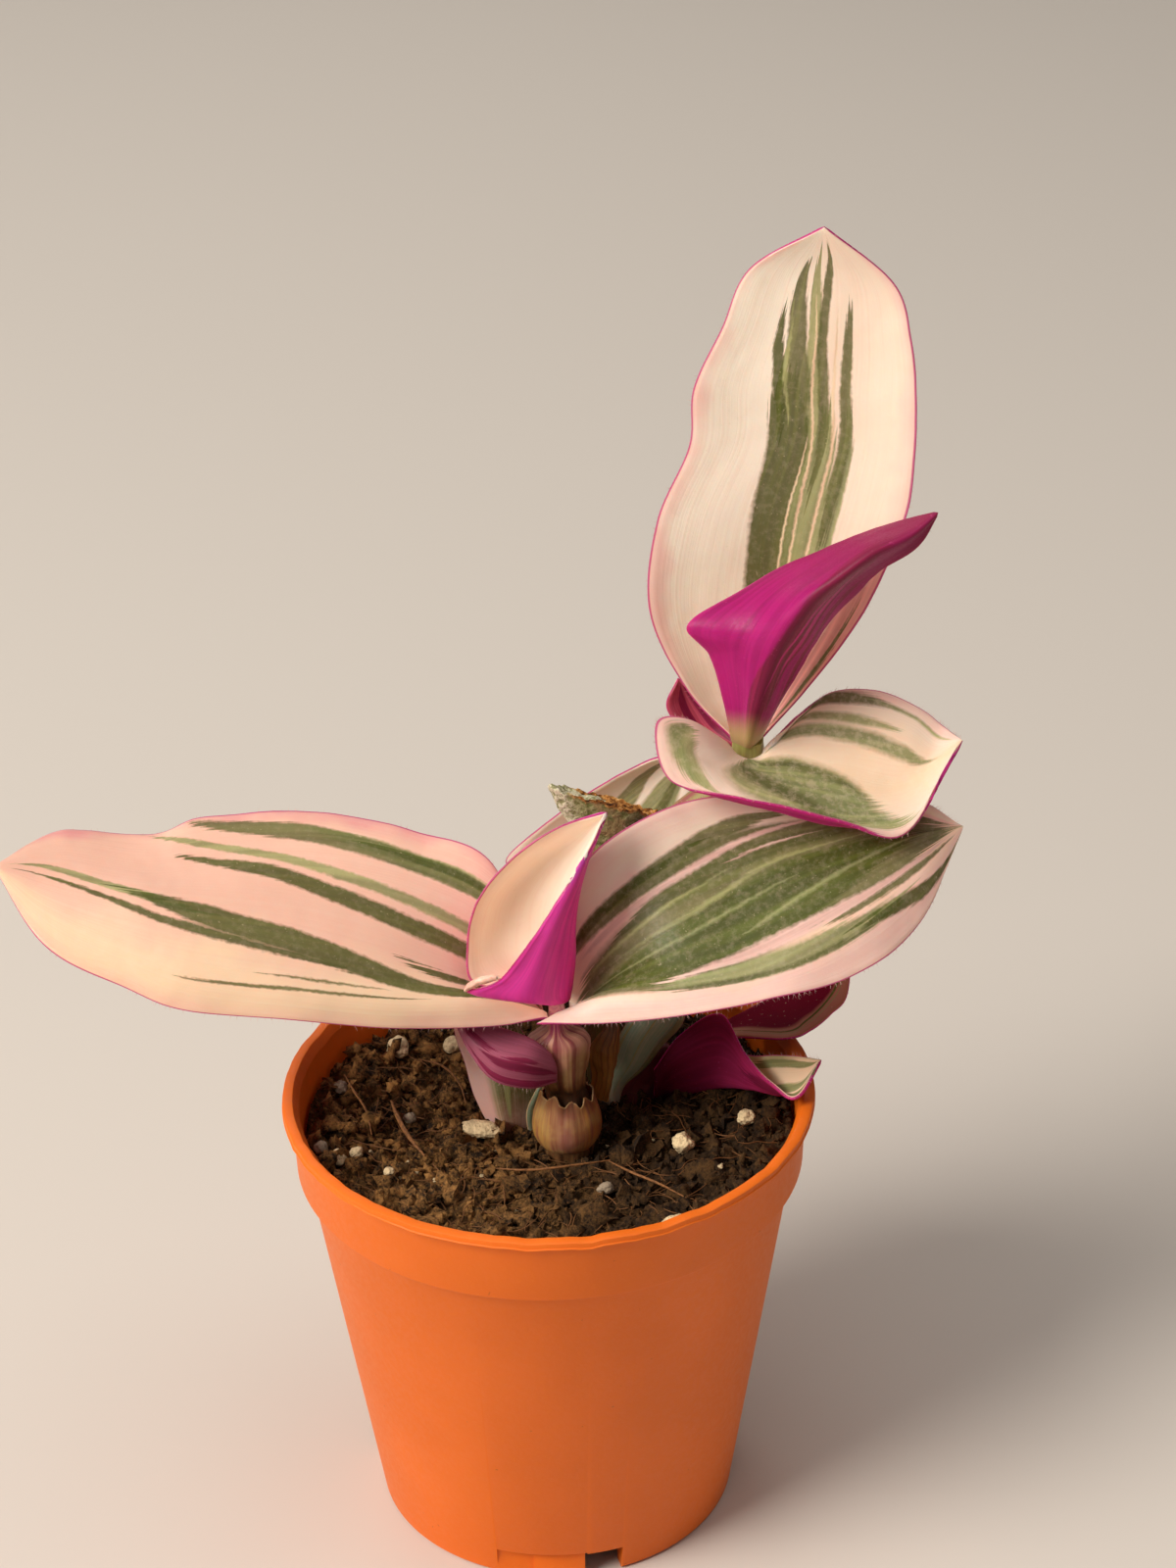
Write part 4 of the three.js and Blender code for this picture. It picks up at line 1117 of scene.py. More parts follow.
# Rails of each leaf from its base on, in millimetres, and then the tip where they all end. The
# first rail is one margin and the last rail the other.
RAILS = {
    "left_leaf": (
        [(-2, 3, 68), (-6, 9, 78), (-15, 12, 80.5), (-25.5, 13, 82.5), (-37.5, 10.5, 83.5),
         (-43, 8, 82.8), (-53, 5.6, 84.7)],
        [(-1, 1.5, 66.5), (-5.5, 4.5, 73.5), (-15, 6, 78), (-26.5, 6, 80.5), (-37.5, 4, 81.5),
         (-43.5, 1.8, 82.2), (-52.7, 1.1, 84.4)],
        [(-0.2, -0.5, 63), (-5.5, -1, 68), (-16, -2.5, 74), (-27, -3, 78), (-37.5, -4, 80.5),
         (-43.5, -4.6, 81.7), (-52.5, -3.7, 83.4)],
        [(0, -3, 65.5), (-5.5, -5, 68.5), (-16.5, -8, 71), (-27.5, -10, 74), (-37.5, -11, 76.5),
         (-43.5, -10.2, 78.4), (-52.6, -7.7, 81.5)],
        [(0.2, -5.2, 66.3), (-6, -6.8, 66.3), (-16.5, -9.5, 68), (-28, -12, 71), (-38.5, -13, 73),
         (-44.5, -12.4, 75.5), (-53, -10.4, 79.6)],
        (-59, -3.2, 85.4),
    ),
    "right_leaf": (
        [(2.5, 3, 70.5), (3.5, 3, 79), (8, 4, 84), (16.5, 7, 86.5), (26.5, 8.5, 86),
         (40, 9.2, 85.3)],
        [(2.5, 2, 67.5), (5, 2, 74), (11, 2.5, 80), (19, 4.8, 82.5), (28, 7, 83), (38.5, 8.2, 84)],
        [(2.5, -1, 63), (6.5, -1.5, 68.5), (13.5, -2, 74.5), (21.5, 0, 77.5), (30, 2.5, 80.5),
         (39, 5.5, 82)],
        [(1.4, -4.5, 66.3), (6.5, -6, 69.5), (14.5, -7.5, 71), (23.5, -6.5, 72.5),
         (32, -3.5, 75.5), (40.5, 2, 79)],
        [(-1, -7.8, 67.2), (6.5, -8, 67.2), (15, -9.5, 69), (24, -9, 70.5), (33.5, -6, 71.5),
         (41, -0.5, 74.5)],
        (46.5, 8, 82),
    ),
    "centre_leaf": (
        [(-4.5, -4.8, 70), (-8, -5.5, 71.3), (-8.5, -3.5, 74.2), (-7.5, -1.5, 78.5),
         (-4, -0.5, 83), (1, 0, 87)],
        [(-2.5, -1.5, 69), (-4.5, -0.5, 71.3), (-4.5, 1.5, 74), (-3.5, 2.7, 77.3), (-0.5, 3, 81),
         (3.5, 2, 85)],
        [(2.3, -1.8, 66.8), (2.7, -1.5, 68.8), (3, 0, 71.5), (3, 0.5, 76), (4, 1, 81),
         (5.5, 1, 85)],
        [(1, -5.2, 68), (-0.5, -7, 70), (0.5, -7, 74.5), (2, -6, 79.5), (4, -4, 84),
         (5.5, -1.5, 86.5)],
        [(-3.8, -6, 69.6), (-8.5, -6.8, 70.8), (-5, -8, 73), (-1.5, -8, 77.5), (2, -6, 82.5),
         (5, -3, 86)],
        (7, 1, 88.5),
    ),
    "tall_leaf": (
        [(21.5, 14.8, 89.5), (16, 16.5, 95.5), (12.1, 18, 104.5), (13.1, 20, 114.2),
         (16.6, 21.2, 122.4), (17.1, 21.6, 129), (20.1, 21.8, 135.7), (23.1, 21.6, 142.6)],
        [(22.2, 15.8, 89.2), (19, 18, 94.7), (17.5, 19.6, 104.5), (19.1, 20.6, 114.3),
         (22.6, 21.4, 122.9), (23.1, 21.6, 129.3), (25.1, 21.8, 136), (27.1, 21.4, 142.6)],
        [(23, 16.2, 89.2), (23, 18.8, 94.3), (24.5, 20, 104), (26, 20.4, 114), (28.5, 20.8, 123.1),
         (29, 20.8, 129.6), (30, 20.9, 136), (30.5, 20.9, 142.5)],
        [(23.8, 16, 89.2), (26.5, 17.2, 94.9), (30.5, 18, 105.8), (33, 18.4, 114.3),
         (35, 18.8, 123.4), (35.2, 19.2, 129.4), (35.3, 19.7, 135.4), (34.5, 19.8, 141.9)],
        [(24.4, 15.2, 89.5), (29.5, 14.5, 96.2), (35.6, 14.2, 105.9), (39.6, 14.6, 116),
         (40.6, 15.4, 123.6), (40.6, 16.3, 129.7), (40.1, 17.6, 135.8), (38.1, 18.6, 141.8)],
        (30.7, 19, 148),
    ),
    "young_leaf": (
        [(21, 12.5, 90.8), (20, 11.5, 96.5), (18.5, 11, 102.5), (16, 10.5, 106),
         (20.5, 12.5, 108.5), (26.5, 13.5, 111.5), (33.5, 12.5, 115), (39, 10.5, 118)],
        [(22, 11.5, 90.8), (22, 10, 97), (21.5, 9, 103), (22, 8.5, 106), (25, 9.5, 109.5),
         (29, 10, 112.5), (34.5, 9.5, 116), (39, 9, 118)],
        [(22.8, 11.2, 90.6), (23.5, 8.5, 97.5), (25, 7, 103.5), (26.5, 6, 107.5), (29, 5.5, 111.5),
         (32, 5.5, 114), (35.5, 6, 116.5), (39.5, 7, 118)],
        [(23.6, 12, 90.6), (25, 10, 96), (26.5, 9, 101.5), (28.5, 8.5, 105), (30.5, 8, 109),
         (33, 8, 112), (36.5, 8, 114.5), (40, 8, 117)],
        [(24.2, 13, 90.8), (26, 12, 95.5), (28.5, 11, 100.5), (30, 11, 103.5), (32, 10.5, 107),
         (34.5, 10, 110), (36.5, 9, 113), (40.5, 8.5, 116)],
        (42.5, 8.2, 120),
    ),
    "crown_leaf": (
        [(24.6, 12.1, 89.8), (26.2, 12.5, 91.6), (28.9, 14.4, 93.1), (32.4, 16.8, 94.5),
         (37.5, 17, 94.5), (42, 15.5, 93), (44.5, 14, 91.5)],
        [(24.2, 11.3, 89.4), (25.2, 11.5, 90.1), (26.8, 13, 91.2), (30, 14, 92), (35.5, 14, 91.8),
         (40.5, 13, 91), (43.5, 12, 89.5)],
        [(22.8, 10.3, 89.6), (23.3, 9.5, 89.4), (24.3, 9, 89.1), (27, 9.5, 88.8), (33, 9.5, 88),
         (38.5, 9, 87), (42.5, 10, 88)],
        [(21.5, 10.5, 90.2), (19.9, 8.2, 91), (18.5, 6, 91), (21, 4, 89), (27.5, 3, 87),
         (33.5, 3, 85.5), (40.5, 5, 85.5)],
        [(20.6, 10.9, 91.3), (16, 9, 95.5), (12.5, 7, 96), (14, 4, 90.5), (22, 1.5, 89.5),
         (31.5, 0.5, 87.5), (39.5, 2, 84.5)],
        (46.5, 11.7, 90.8),
    ),
    "crown_back_leaf": (
        [(20.6, 16, 88.2), (16.5, 17.5, 89), (14, 18.5, 92)],
        [(21.4, 16.8, 87.8), (18.5, 19, 89), (16.5, 20, 92)],
        [(22.2, 17, 88), (20.5, 18.7, 90.5), (18.5, 19.4, 93)],
        (15.3, 19.8, 95),
    ),
    "back_leaf": (
        [(5, 14, 72.8), (-1.5, 15, 73.5), (-4.5, 16, 74), (-0.5, 17.5, 77.5), (6.5, 19, 82),
         (12, 20, 84.5)],
        [(6, 14.4, 72.5), (4, 16, 73.5), (4, 18, 75), (6.5, 19.5, 77.5), (10.5, 20.5, 80.5),
         (14, 21, 83)],
        [(7, 14.2, 72.8), (9.5, 15.5, 73), (11.5, 17, 74), (14, 18.5, 76), (16, 19.5, 78.5),
         (17, 20.5, 81.5)],
        (16.3, 20.5, 85),
    ),
    "lower_purple_leaf": (
        [(1, -4.7, 57.5), (-2, -6.5, 58), (-6, -7, 59.5), (-8.5, -5.5, 62), (-10.5, -2, 65)],
        [(1, -4.8, 59.5), (-2, -6.5, 61.5), (-5.5, -6.5, 62.5), (-8.5, -4.5, 64), (-10, -1.5, 65)],
        [(0.5, -4.4, 61), (-1.5, -4.5, 63), (-5, -3.5, 64), (-8, -2, 64.5), (-10, 0, 65.2)],
        (-11, 1, 66),
    ),
    "lower_pale_leaf": (
        [(-6, 2.5, 44.5), (-8.5, 3, 50.5), (-9.5, 4, 54.5), (-10.5, 5, 58), (-10.5, 6, 61)],
        [(-4.5, 1.8, 44.5), (-5.5, 2, 51), (-6, 3, 54.5), (-6.5, 4, 58), (-7.5, 5.5, 61.5)],
        [(-3, 2.3, 44.5), (-1.5, 3, 50), (-1.5, 3.5, 54), (-2.5, 4.5, 57.5), (-5, 6, 61)],
        (-9, 8, 63),
    ),
    "side_blade": (
        [(-2, 1, 44.5), (-2.6, 1, 49), (-1.5, 1.4, 52)],
        [(-1, 1.8, 44.5), (-1.2, 2, 49), (-0.6, 2, 52)],
        [(0, 2.2, 44.5), (0.2, 2.6, 49), (0.4, 2.4, 52)],
        (0.4, 2, 55),
    ),
    "silver_leaf": (
        [(6, 6.9, 44.5), (6, 7, 48.5), (7, 7, 51.5), (8, 7, 55.5), (10, 7.5, 58.5)],
        [(6.8, 6.4, 44.5), (7.5, 6, 49.5), (9, 6, 52.5), (10.5, 6, 56), (12.5, 7, 58.5)],
        [(7.6, 7, 44.5), (8.5, 7.6, 48.5), (11, 8, 51), (13, 8.5, 53.5), (15.5, 9, 56.5)],
        (16, 10, 62),
    ),
    "edge_leaf": (
        [(12.2, 11.2, 48.4), (16, 11, 50.5), (20, 9, 53), (23, 4.5, 54.6), (25.5, 1.5, 56.5),
         (28, 0, 57.3)],
        [(12.1, 10.3, 46.9), (15.5, 10, 47.3), (20, 7.5, 50), (23.5, 3, 52.5), (26, 0, 54.6),
         (28.5, -1.5, 55.8)],
        [(12, 8.2, 46.4), (14.5, 8, 47), (19.5, 6, 49.5), (23, 1.5, 52), (26, -2, 53.6),
         (28.2, -3.8, 55.4)],
        [(12, 6, 49), (14.5, 5.5, 53), (19.5, 4, 56), (22.5, 0.5, 55), (25.5, -3, 54.8),
         (27.8, -4.8, 55.1)],
        [(12, 5.8, 52), (15, 6, 56.5), (19.5, 4.5, 60.3), (22, 1.5, 57), (25, -3, 55.6),
         (27.5, -5.5, 55.3)],
        (30.6, -1, 57.4),
    ),
    "edge_back_leaf": (
        [(14, 8, 51), (17.5, 7.8, 52.8), (20.8, 7.7, 55), (27, 4.8, 56.4), (30, 6, 56.8),
         (32.5, 9.5, 56.8), (34.5, 12.5, 57.4)],
        [(14, 8.6, 50.5), (17.5, 9, 52), (20.8, 9.6, 54.7), (27, 8.4, 55.6), (29.5, 10, 56.3),
         (32, 13, 57), (33.5, 15.5, 58.2)],
        [(14, 9.2, 51), (17.5, 10, 52.8), (20.8, 11.4, 55), (26, 14.5, 56), (29, 16.5, 57.2),
         (31, 18, 58.5), (33, 18.5, 60)],
        (35.3, 17.5, 61),
    ),
    "dried_sheath": (
        [(4.8, 1.9, 51.2), (5, 1.6, 54.5), (4.6, 1.2, 58)],
        [(5.8, 1.1, 51.2), (6.4, 1, 54.5), (6.6, 1, 58)],
        [(6.6, 0.2, 51.2), (7.4, 1.4, 54.5), (8, 2, 58)],
        (8, 2.5, 62),
    ),
}

# Which side of the grid is the leaf's upper face, then the blade's cells across and along.
BLADES = {
    "left_leaf": (-1, 54, 110),
    "right_leaf": (1, 54, 100),
    "centre_leaf": (1, 48, 60),
    "tall_leaf": (1, 54, 110),
    "young_leaf": (-1, 44, 80),
    "crown_leaf": (1, 54, 80),
    "crown_back_leaf": (-1, 24, 30),
    "back_leaf": (1, 36, 60),
    "lower_purple_leaf": (-1, 30, 50),
    "lower_pale_leaf": (1, 24, 44),
    "side_blade": (1, 12, 30),
    "silver_leaf": (1, 24, 50),
    "edge_leaf": (1, 44, 64),
    "edge_back_leaf": (-1, 30, 60),
    "dried_sheath": (1, 16, 30),
}

# Ground colours across each blade, as (place across, colour).
GROUNDS = {
    "left_leaf": [(0, "rose"), (0.08, "pink"), (0.55, "pink"), (0.7, "cream"), (0.85, "cream"),
                  (1, "pink")],
    # Painted light: the blush band near the far margin lightens the strip that the middle leaf
    # shades.
    "right_leaf": [(0, "lilac"), (0.2, "blush"), (0.3, "lilac"), (0.6, "cream"), (0.85, "lilac"),
                   (1, "lilac")],
    # Painted light: pearl across the middle leaf lightens the part that turns from the lamp.
    "centre_leaf": [(0, "blush"), (0.12, "pearl_with_painted_light"), (0.8, "pearl_with_painted_light"), (1, "blush")],
    # Painted light: pearl on the left half, which turns from the lamp.
    "tall_leaf": [(0, "lilac"), (0.1, "pearl_with_painted_light"), (0.35, "pearl_with_painted_light"), (0.6, "blush"), (0.9, "blush"),
                  (1, "lilac")],
    "young_leaf": [(0, "lilac"), (0.1, "blush"), (0.9, "blush"), (1, "lilac")],
    "crown_leaf": [(0, "lilac"), (0.12, "blush"), (0.5, "cream"), (0.8, "blush"), (1, "lilac")],
    "edge_leaf": [(0, "sage"), (0.1, "cream"), (0.8, "cream"), (1, "pink")],
    "edge_back_leaf": [(0, "dusk"), (0.4, "dusk"), (0.5, "wine"), (1, "wine")],
    # Painted light: pearl lightens the back leaf where it lies in shade.
    "back_leaf": [(0, "blush"), (0.1, "pearl_with_painted_light"), (0.9, "pearl_with_painted_light"), (1, "blush")],
    "lower_pale_leaf": [(0, "lilac"), (0.3, "lilac"), (0.42, "moss"), (0.55, "deep"), (1, "deep")],
    "silver_leaf": [(0, "sage"), (0.1, "silver"), (0.8, "silver"), (1, "green")],
    "side_blade": [(0, "silver"), (0.6, "silver"), (1, "green")],
}
PLAIN_GROUND = [(0, "pink"), (0.2, "cream"), (0.8, "cream"), (1, "pink")]

# Stripes of each leaf: colour, half width, taper, and the line (along, across) that it follows.
STRIPES = {
    "left_leaf": [
        ("sage", 0.058, 0.25, ((0, 0.16), (0.2, 0.185), (0.33, 0.155), (0.42, 0.11))),
        ("green", 0.046, 0.16, ((0, 0.19), (0.2, 0.19), (0.35, 0.16), (0.5, 0.09), (0.61, 0.03))),
        ("deep", 0.02, 0.1, ((0.1, 0.175), (0.25, 0.165), (0.36, 0.135))),
        ("sage", 0.019, 0.14, ((0, 0.36), (0.2, 0.35), (0.4, 0.29), (0.58, 0.155), (0.72, 0.03))),
        ("deep", 0.03, 0.16, ((0, 0.43), (0.2, 0.425), (0.33, 0.4), (0.48, 0.315), (0.63, 0.21))),
        ("sage", 0.024, 0.18, ((0.55, 0.53), (0.73, 0.46), (0.85, 0.395), (0.97, 0.32))),
        ("deep", 0.04, 0.2, ((0, 0.74), (0.2, 0.7), (0.35, 0.61), (0.55, 0.535), (0.76, 0.445))),
        ("deep", 0.016, 0.2,
         ((0.34, 0.65), (0.55, 0.592), (0.7, 0.552), (0.85, 0.472), (0.96, 0.43))),
        ("deep", 0.028, 0.06, ((0.1, 0.6), (0.2, 0.585), (0.27, 0.557))),
        ("green", 0.009, 0.12, ((0.24, 0.75), (0.4, 0.766), (0.62, 0.79))),
        ("green", 0.006, 0.06, ((0.28, 0.71), (0.44, 0.71))),
    ],
    "right_leaf": [
        ("green", 0.19, 0.12, ((0, 0.58), (0.25, 0.56), (0.5, 0.5), (0.75, 0.5), (0.99, 0.5))),
        ("deep", 0.12, 0.3, ((0, 0.6), (0.3, 0.6), (0.55, 0.56), (0.9, 0.5))),
        ("green", 0.09, 0.25, ((0.25, 0.39), (0.5, 0.33), (0.7, 0.3), (0.99, 0.4))),
        ("green", 0.045, 0.12,
         ((0, 0.2), (0.18, 0.268), (0.35, 0.275), (0.5, 0.215), (0.68, 0.11))),
        ("deep", 0.022, 0.16, ((0, 0.2), (0.18, 0.26), (0.35, 0.265), (0.46, 0.23))),
        ("lilac", 0.013, 0.1, ((0, 0.27), (0.2, 0.336), (0.35, 0.335), (0.5, 0.296), (0.72, 0.2))),
        ("sage", 0.006, 0.1, ((0.12, 0.41), (0.3, 0.41), (0.5, 0.37))),
        ("moss", 0.006, 0.2, ((0.1, 0.52), (0.3, 0.54), (0.5, 0.51), (0.62, 0.5))),
        ("lilac", 0.006, 0.1, ((0.5, 0.35), (0.6, 0.33), (0.72, 0.31))),
        ("sage", 0.009, 0.3, ((0.16, 0.447), (0.38, 0.465), (0.58, 0.415), (0.8, 0.42))),
        ("moss", 0.009, 0.2, ((0.5, 0.6), (0.7, 0.56), (0.9, 0.52))),
        ("moss", 0.05, 0.2,
         ((0.28, 0.73), (0.47, 0.735), (0.6, 0.76), (0.72, 0.785), (0.84, 0.8))),
        ("lilac", 0.022, 0.3,
         ((0.3, 0.7), (0.48, 0.668), (0.63, 0.675), (0.8, 0.69), (0.99, 0.66))),
        ("green", 0.014, 0.1, ((0.3, 0.745), (0.45, 0.76), (0.6, 0.79), (0.72, 0.81))),
        ("green", 0.02, 0.16, ((0.66, 0.7), (0.79, 0.717), (0.99, 0.72))),
        ("deep", 0.045, 0.16, ((0.7, 0.77), (0.78, 0.811), (0.89, 0.88), (1, 0.98))),
    ],
    "centre_leaf": [
        ("blush", 0.03, 0.3, ((0.2, 0.6), (0.5, 0.6), (0.8, 0.6))),
    ],
    "tall_leaf": [
        ("sage", 0.034, 0.12, ((0.45, 0.55), (0.635, 0.535), (0.83, 0.49), (0.93, 0.49))),
        ("deep", 0.092, 0.12, ((0, 0.54), (0.27, 0.52), (0.4, 0.49), (0.53, 0.44), (0.67, 0.42))),
        ("deep", 0.036, 0.14, ((0.5, 0.41), (0.635, 0.39), (0.73, 0.33), (0.79, 0.315))),
        ("green", 0.05, 0.1,
         ((0.55, 0.5), (0.635, 0.48), (0.73, 0.42), (0.83, 0.39), (0.91, 0.41))),
        ("moss", 0.062, 0.14, ((0, 0.62), (0.32, 0.625), (0.45, 0.607), (0.58, 0.6))),
        ("green", 0.025, 0.1,
         ((0.42, 0.6), (0.635, 0.58), (0.73, 0.55), (0.83, 0.555), (0.97, 0.61))),
        ("moss", 0.032, 0.12, ((0, 0.72), (0.34, 0.712), (0.45, 0.7), (0.57, 0.69))),
        ("green", 0.024, 0.1,
         ((0.3, 0.71), (0.45, 0.687), (0.585, 0.68), (0.71, 0.672), (0.81, 0.68))),
        ("sage", 0.011, 0.1, ((0.55, 0.44), (0.68, 0.4), (0.8, 0.36))),
        ("cream", 0.005, 0.1, ((0.2, 0.6), (0.39, 0.58), (0.55, 0.545), (0.72, 0.52), (0.8, 0.5))),
        ("cream", 0.006, 0.12,
         ((0.2, 0.665), (0.39, 0.648), (0.55, 0.632), (0.7, 0.62), (0.8, 0.61))),
        ("cream", 0.004, 0.1, ((0.2, 0.56), (0.39, 0.545), (0.5, 0.53))),
        ("rose", 0.09, 0.14, ((0, 0.95), (0.2, 0.94), (0.34, 0.97))),
        ("green", 0.02, 0.08, ((0.02, 0.95), (0.12, 0.955), (0.24, 0.955))),
    ],
    "young_leaf": [
        ("deep", 0.15, 0.16, ((0, 0.48), (0.11, 0.5), (0.3, 0.62), (0.55, 0.625), (0.82, 0.44))),
        ("magenta", 0.012, 0.1, ((0.15, 0.55), (0.25, 0.59), (0.4, 0.64), (0.58, 0.67))),
        ("magenta", 0.022, 0.1, ((0.2, 0.69), (0.4, 0.72), (0.6, 0.71), (0.7, 0.6))),
        ("deep", 0.03, 0.1, ((0.05, 0.9), (0.3, 0.88), (0.5, 0.87), (0.7, 0.86))),
    ],
    "crown_leaf": [
        ("green", 0.05, 0.14, ((0.18, 0.12), (0.37, 0.05), (0.52, 0.075), (0.65, 0.1))),
        ("sage", 0.018, 0.1, ((0.56, 0.08), (0.69, 0.105), (0.95, 0.13))),
        ("sage", 0.03, 0.14, ((0.12, 0.22), (0.31, 0.15), (0.45, 0.2), (0.68, 0.25))),
        ("moss", 0.036, 0.16,
         ((0.1, 0.29), (0.4, 0.28), (0.57, 0.314), (0.74, 0.358), (0.9, 0.43))),
        ("sage", 0.13, 0.2, ((0, 0.52), (0.3, 0.56), (0.5, 0.63), (0.7, 0.73), (0.88, 0.85))),
        ("moss", 0.085, 0.24, ((0, 0.5), (0.4, 0.52), (0.6, 0.61), (0.72, 0.69), (0.86, 0.81))),
        ("green", 0.03, 0.2, ((0.1, 0.6), (0.38, 0.6), (0.56, 0.68), (0.76, 0.78))),
        ("green", 0.02, 0.2, ((0.1, 0.46), (0.38, 0.47), (0.56, 0.53), (0.7, 0.6))),
        ("sage", 0.012, 0.16, ((0.15, 0.53), (0.4, 0.54), (0.6, 0.62))),
        ("sage", 0.065, 0.08, ((0.17, 0.94), (0.26, 0.9), (0.33, 0.875), (0.44, 0.86))),
        ("moss", 0.025, 0.07, ((0.18, 0.95), (0.26, 0.915), (0.33, 0.885), (0.42, 0.87))),
        ("magenta", 0.045, 0.08, ((0.6, 1.0), (0.7, 0.985), (0.82, 1.0))),
    ],
    "crown_back_leaf": [
        ("deep", 0.09, 0.2, ((0, 0.3), (0.4, 0.3), (0.9, 0.4))),
        ("deep", 0.12, 0.2, ((0, 0.72), (0.4, 0.72), (0.9, 0.65))),
    ],
    "back_leaf": [
        ("moss", 0.1, 0.2, ((0.3, 0.7), (0.65, 0.484), (0.75, 0.36), (0.92, 0.25))),
        ("moss", 0.13, 0.2, ((0.3, 0.9), (0.64, 0.79), (0.75, 0.742), (0.96, 0.68))),
        ("green", 0.04, 0.2, ((0.3, 0.9), (0.64, 0.82), (0.75, 0.78), (0.96, 0.72))),
        ("sage", 0.02, 0.1, ((0.5, 0.62), (0.7, 0.44), (0.8, 0.36))),
    ],
    "lower_purple_leaf": [
        ("deep", 0.1, 0.1, ((0.43, 0.54), (0.5, 0.53), (0.68, 0.48))),
        ("deep", 0.08, 0.14, ((0, 0.33), (0.15, 0.34), (0.3, 0.372), (0.5, 0.378))),
        ("deep", 0.05, 0.1, ((0.12, 0.5), (0.25, 0.49), (0.36, 0.47))),
        ("deep", 0.06, 0.2, ((0, 0.12), (0.16, 0.1), (0.35, 0.1), (0.6, 0.2))),
    ],
    "edge_leaf": [
        ("moss", 0.05, 0.1, ((0.5, 0.1), (0.67, 0.09), (0.8, 0.1), (0.99, 0.2))),
        ("green", 0.16, 0.1, ((0.5, 0.72), (0.67, 0.74), (0.8, 0.72), (0.97, 0.6))),
        ("cream", 0.03, 0.1, ((0.55, 0.8), (0.7, 0.8), (0.85, 0.78), (0.99, 0.68))),
        ("moss", 0.1, 0.3, ((0.5, 0.42), (0.7, 0.42), (0.95, 0.44))),
        ("sage", 0.012, 0.1, ((0.55, 0.6), (0.7, 0.6), (0.9, 0.56))),
    ],
    "edge_back_leaf": [
        ("deep", 0.03, 0.16, ((0.3, 0.34), (0.5, 0.32), (0.71, 0.36), (0.95, 0.36))),
        ("moss", 0.012, 0.16, ((0.3, 0.24), (0.5, 0.22), (0.71, 0.25), (0.95, 0.25))),
    ],
    "lower_pale_leaf": [
        ("sage", 0.05, 0.2, ((0.1, 0.6), (0.5, 0.62), (0.9, 0.6))),
    ],
    "silver_leaf": [
        ("sage", 0.03, 0.2, ((0.1, 0.12), (0.5, 0.12), (0.95, 0.2))),
        ("sage", 0.014, 0.2, ((0.1, 0.5), (0.5, 0.52), (0.95, 0.5))),
        ("moss", 0.06, 0.2, ((0.1, 0.88), (0.5, 0.9), (0.95, 0.93))),
    ],
}

# Colours of the underside where it isn't the plain magenta.
BACKS = {
    "lower_purple_leaf": (0.4, 0.1, 0.16),
    "edge_leaf": (0.45, 0.025, 0.12),
    "edge_back_leaf": (0.14, 0.004, 0.015),
    "centre_leaf": (0.82, 0.06, 0.42),
    "young_leaf": (0.4, 0.008, 0.15),
    "crown_back_leaf": (0.5, 0.08, 0.13),
    "lower_pale_leaf": (0.3, 0.1, 0.1),
    "silver_leaf": (0.27, 0.34, 0.22),
    "side_blade": (0.16, 0.19, 0.12),
}

# A colour that fades out from the base: the colour, how far along it reaches and its strength.
BASES = {
    # The edge leaf's maroon wash from its base is painted shade, where the leaves above shade it.
    "edge_leaf": ("maroon", 0.62, 0.9),
    "young_leaf": ("lime", 0.11, 0.7),
    "silver_leaf": ("silver", 0.2, 0.3),
}

# A colour that comes in toward the tip: the colour, where it starts and its strength.
# The young leaf's plum here is painted shade, on the wing that turns from the lamp.
TIPS = {"young_leaf": ("plum", 0.32, 0.85)}

# How far the ground colour at the foot of the blade reaches, and what it is where it isn't rose.
FOOT_REACH = 0.3
# The right leaf's blush foot is painted light, on the base that the middle leaf shades.
FOOT_GROUND = {"right_leaf": "blush", "crown_leaf": "blush", "tall_leaf": "pink"}

# The stripes that show on the underside, and their colour there.
BACK_STRIPES = {"deep": "plum", "green": "plum", "plum": "plum", "magenta": "magenta"}

# How chalky the face is, where it isn't as usual: a dusty bloom that is partly painted sheen.
CHALK_AND_SHEEN = {"right_leaf": 0.1, "crown_leaf": 0.24, "left_leaf": 0.06}

# Leaves without any shine.
MATT = ("edge_back_leaf", "edge_leaf")

# How much softer than usual the stripe edges are.
SOFTER = {"crown_leaf": 2.4, "right_leaf": 1.3, "edge_leaf": 1.6, "back_leaf": 1.5}

# A small notch in the last margin: its place along the blade, its spread and its depth in mm.
NIPS = {"crown_leaf": (0.935, 0.035, 1.5)}

# How many hairs stand on the margins of each leaf, and how thin they are.
HAIR_RADIUS = 0.018 * MM
HAIRS = {
    "left_leaf": 360, "right_leaf": 380, "centre_leaf": 160, "tall_leaf": 240, "young_leaf": 240,
    "crown_leaf": 420, "crown_back_leaf": 60, "back_leaf": 60, "lower_purple_leaf": 260,
    "edge_leaf": 160, "edge_back_leaf": 120,
}

# The step from the random seed of one leaf to that of the next.
SEED_STEP = 5.7

# Leaves with a pale margin instead of a magenta one, and leaves with a silvery blade.
PALE_MARGINED = ("lower_pale_leaf", "side_blade", "silver_leaf")

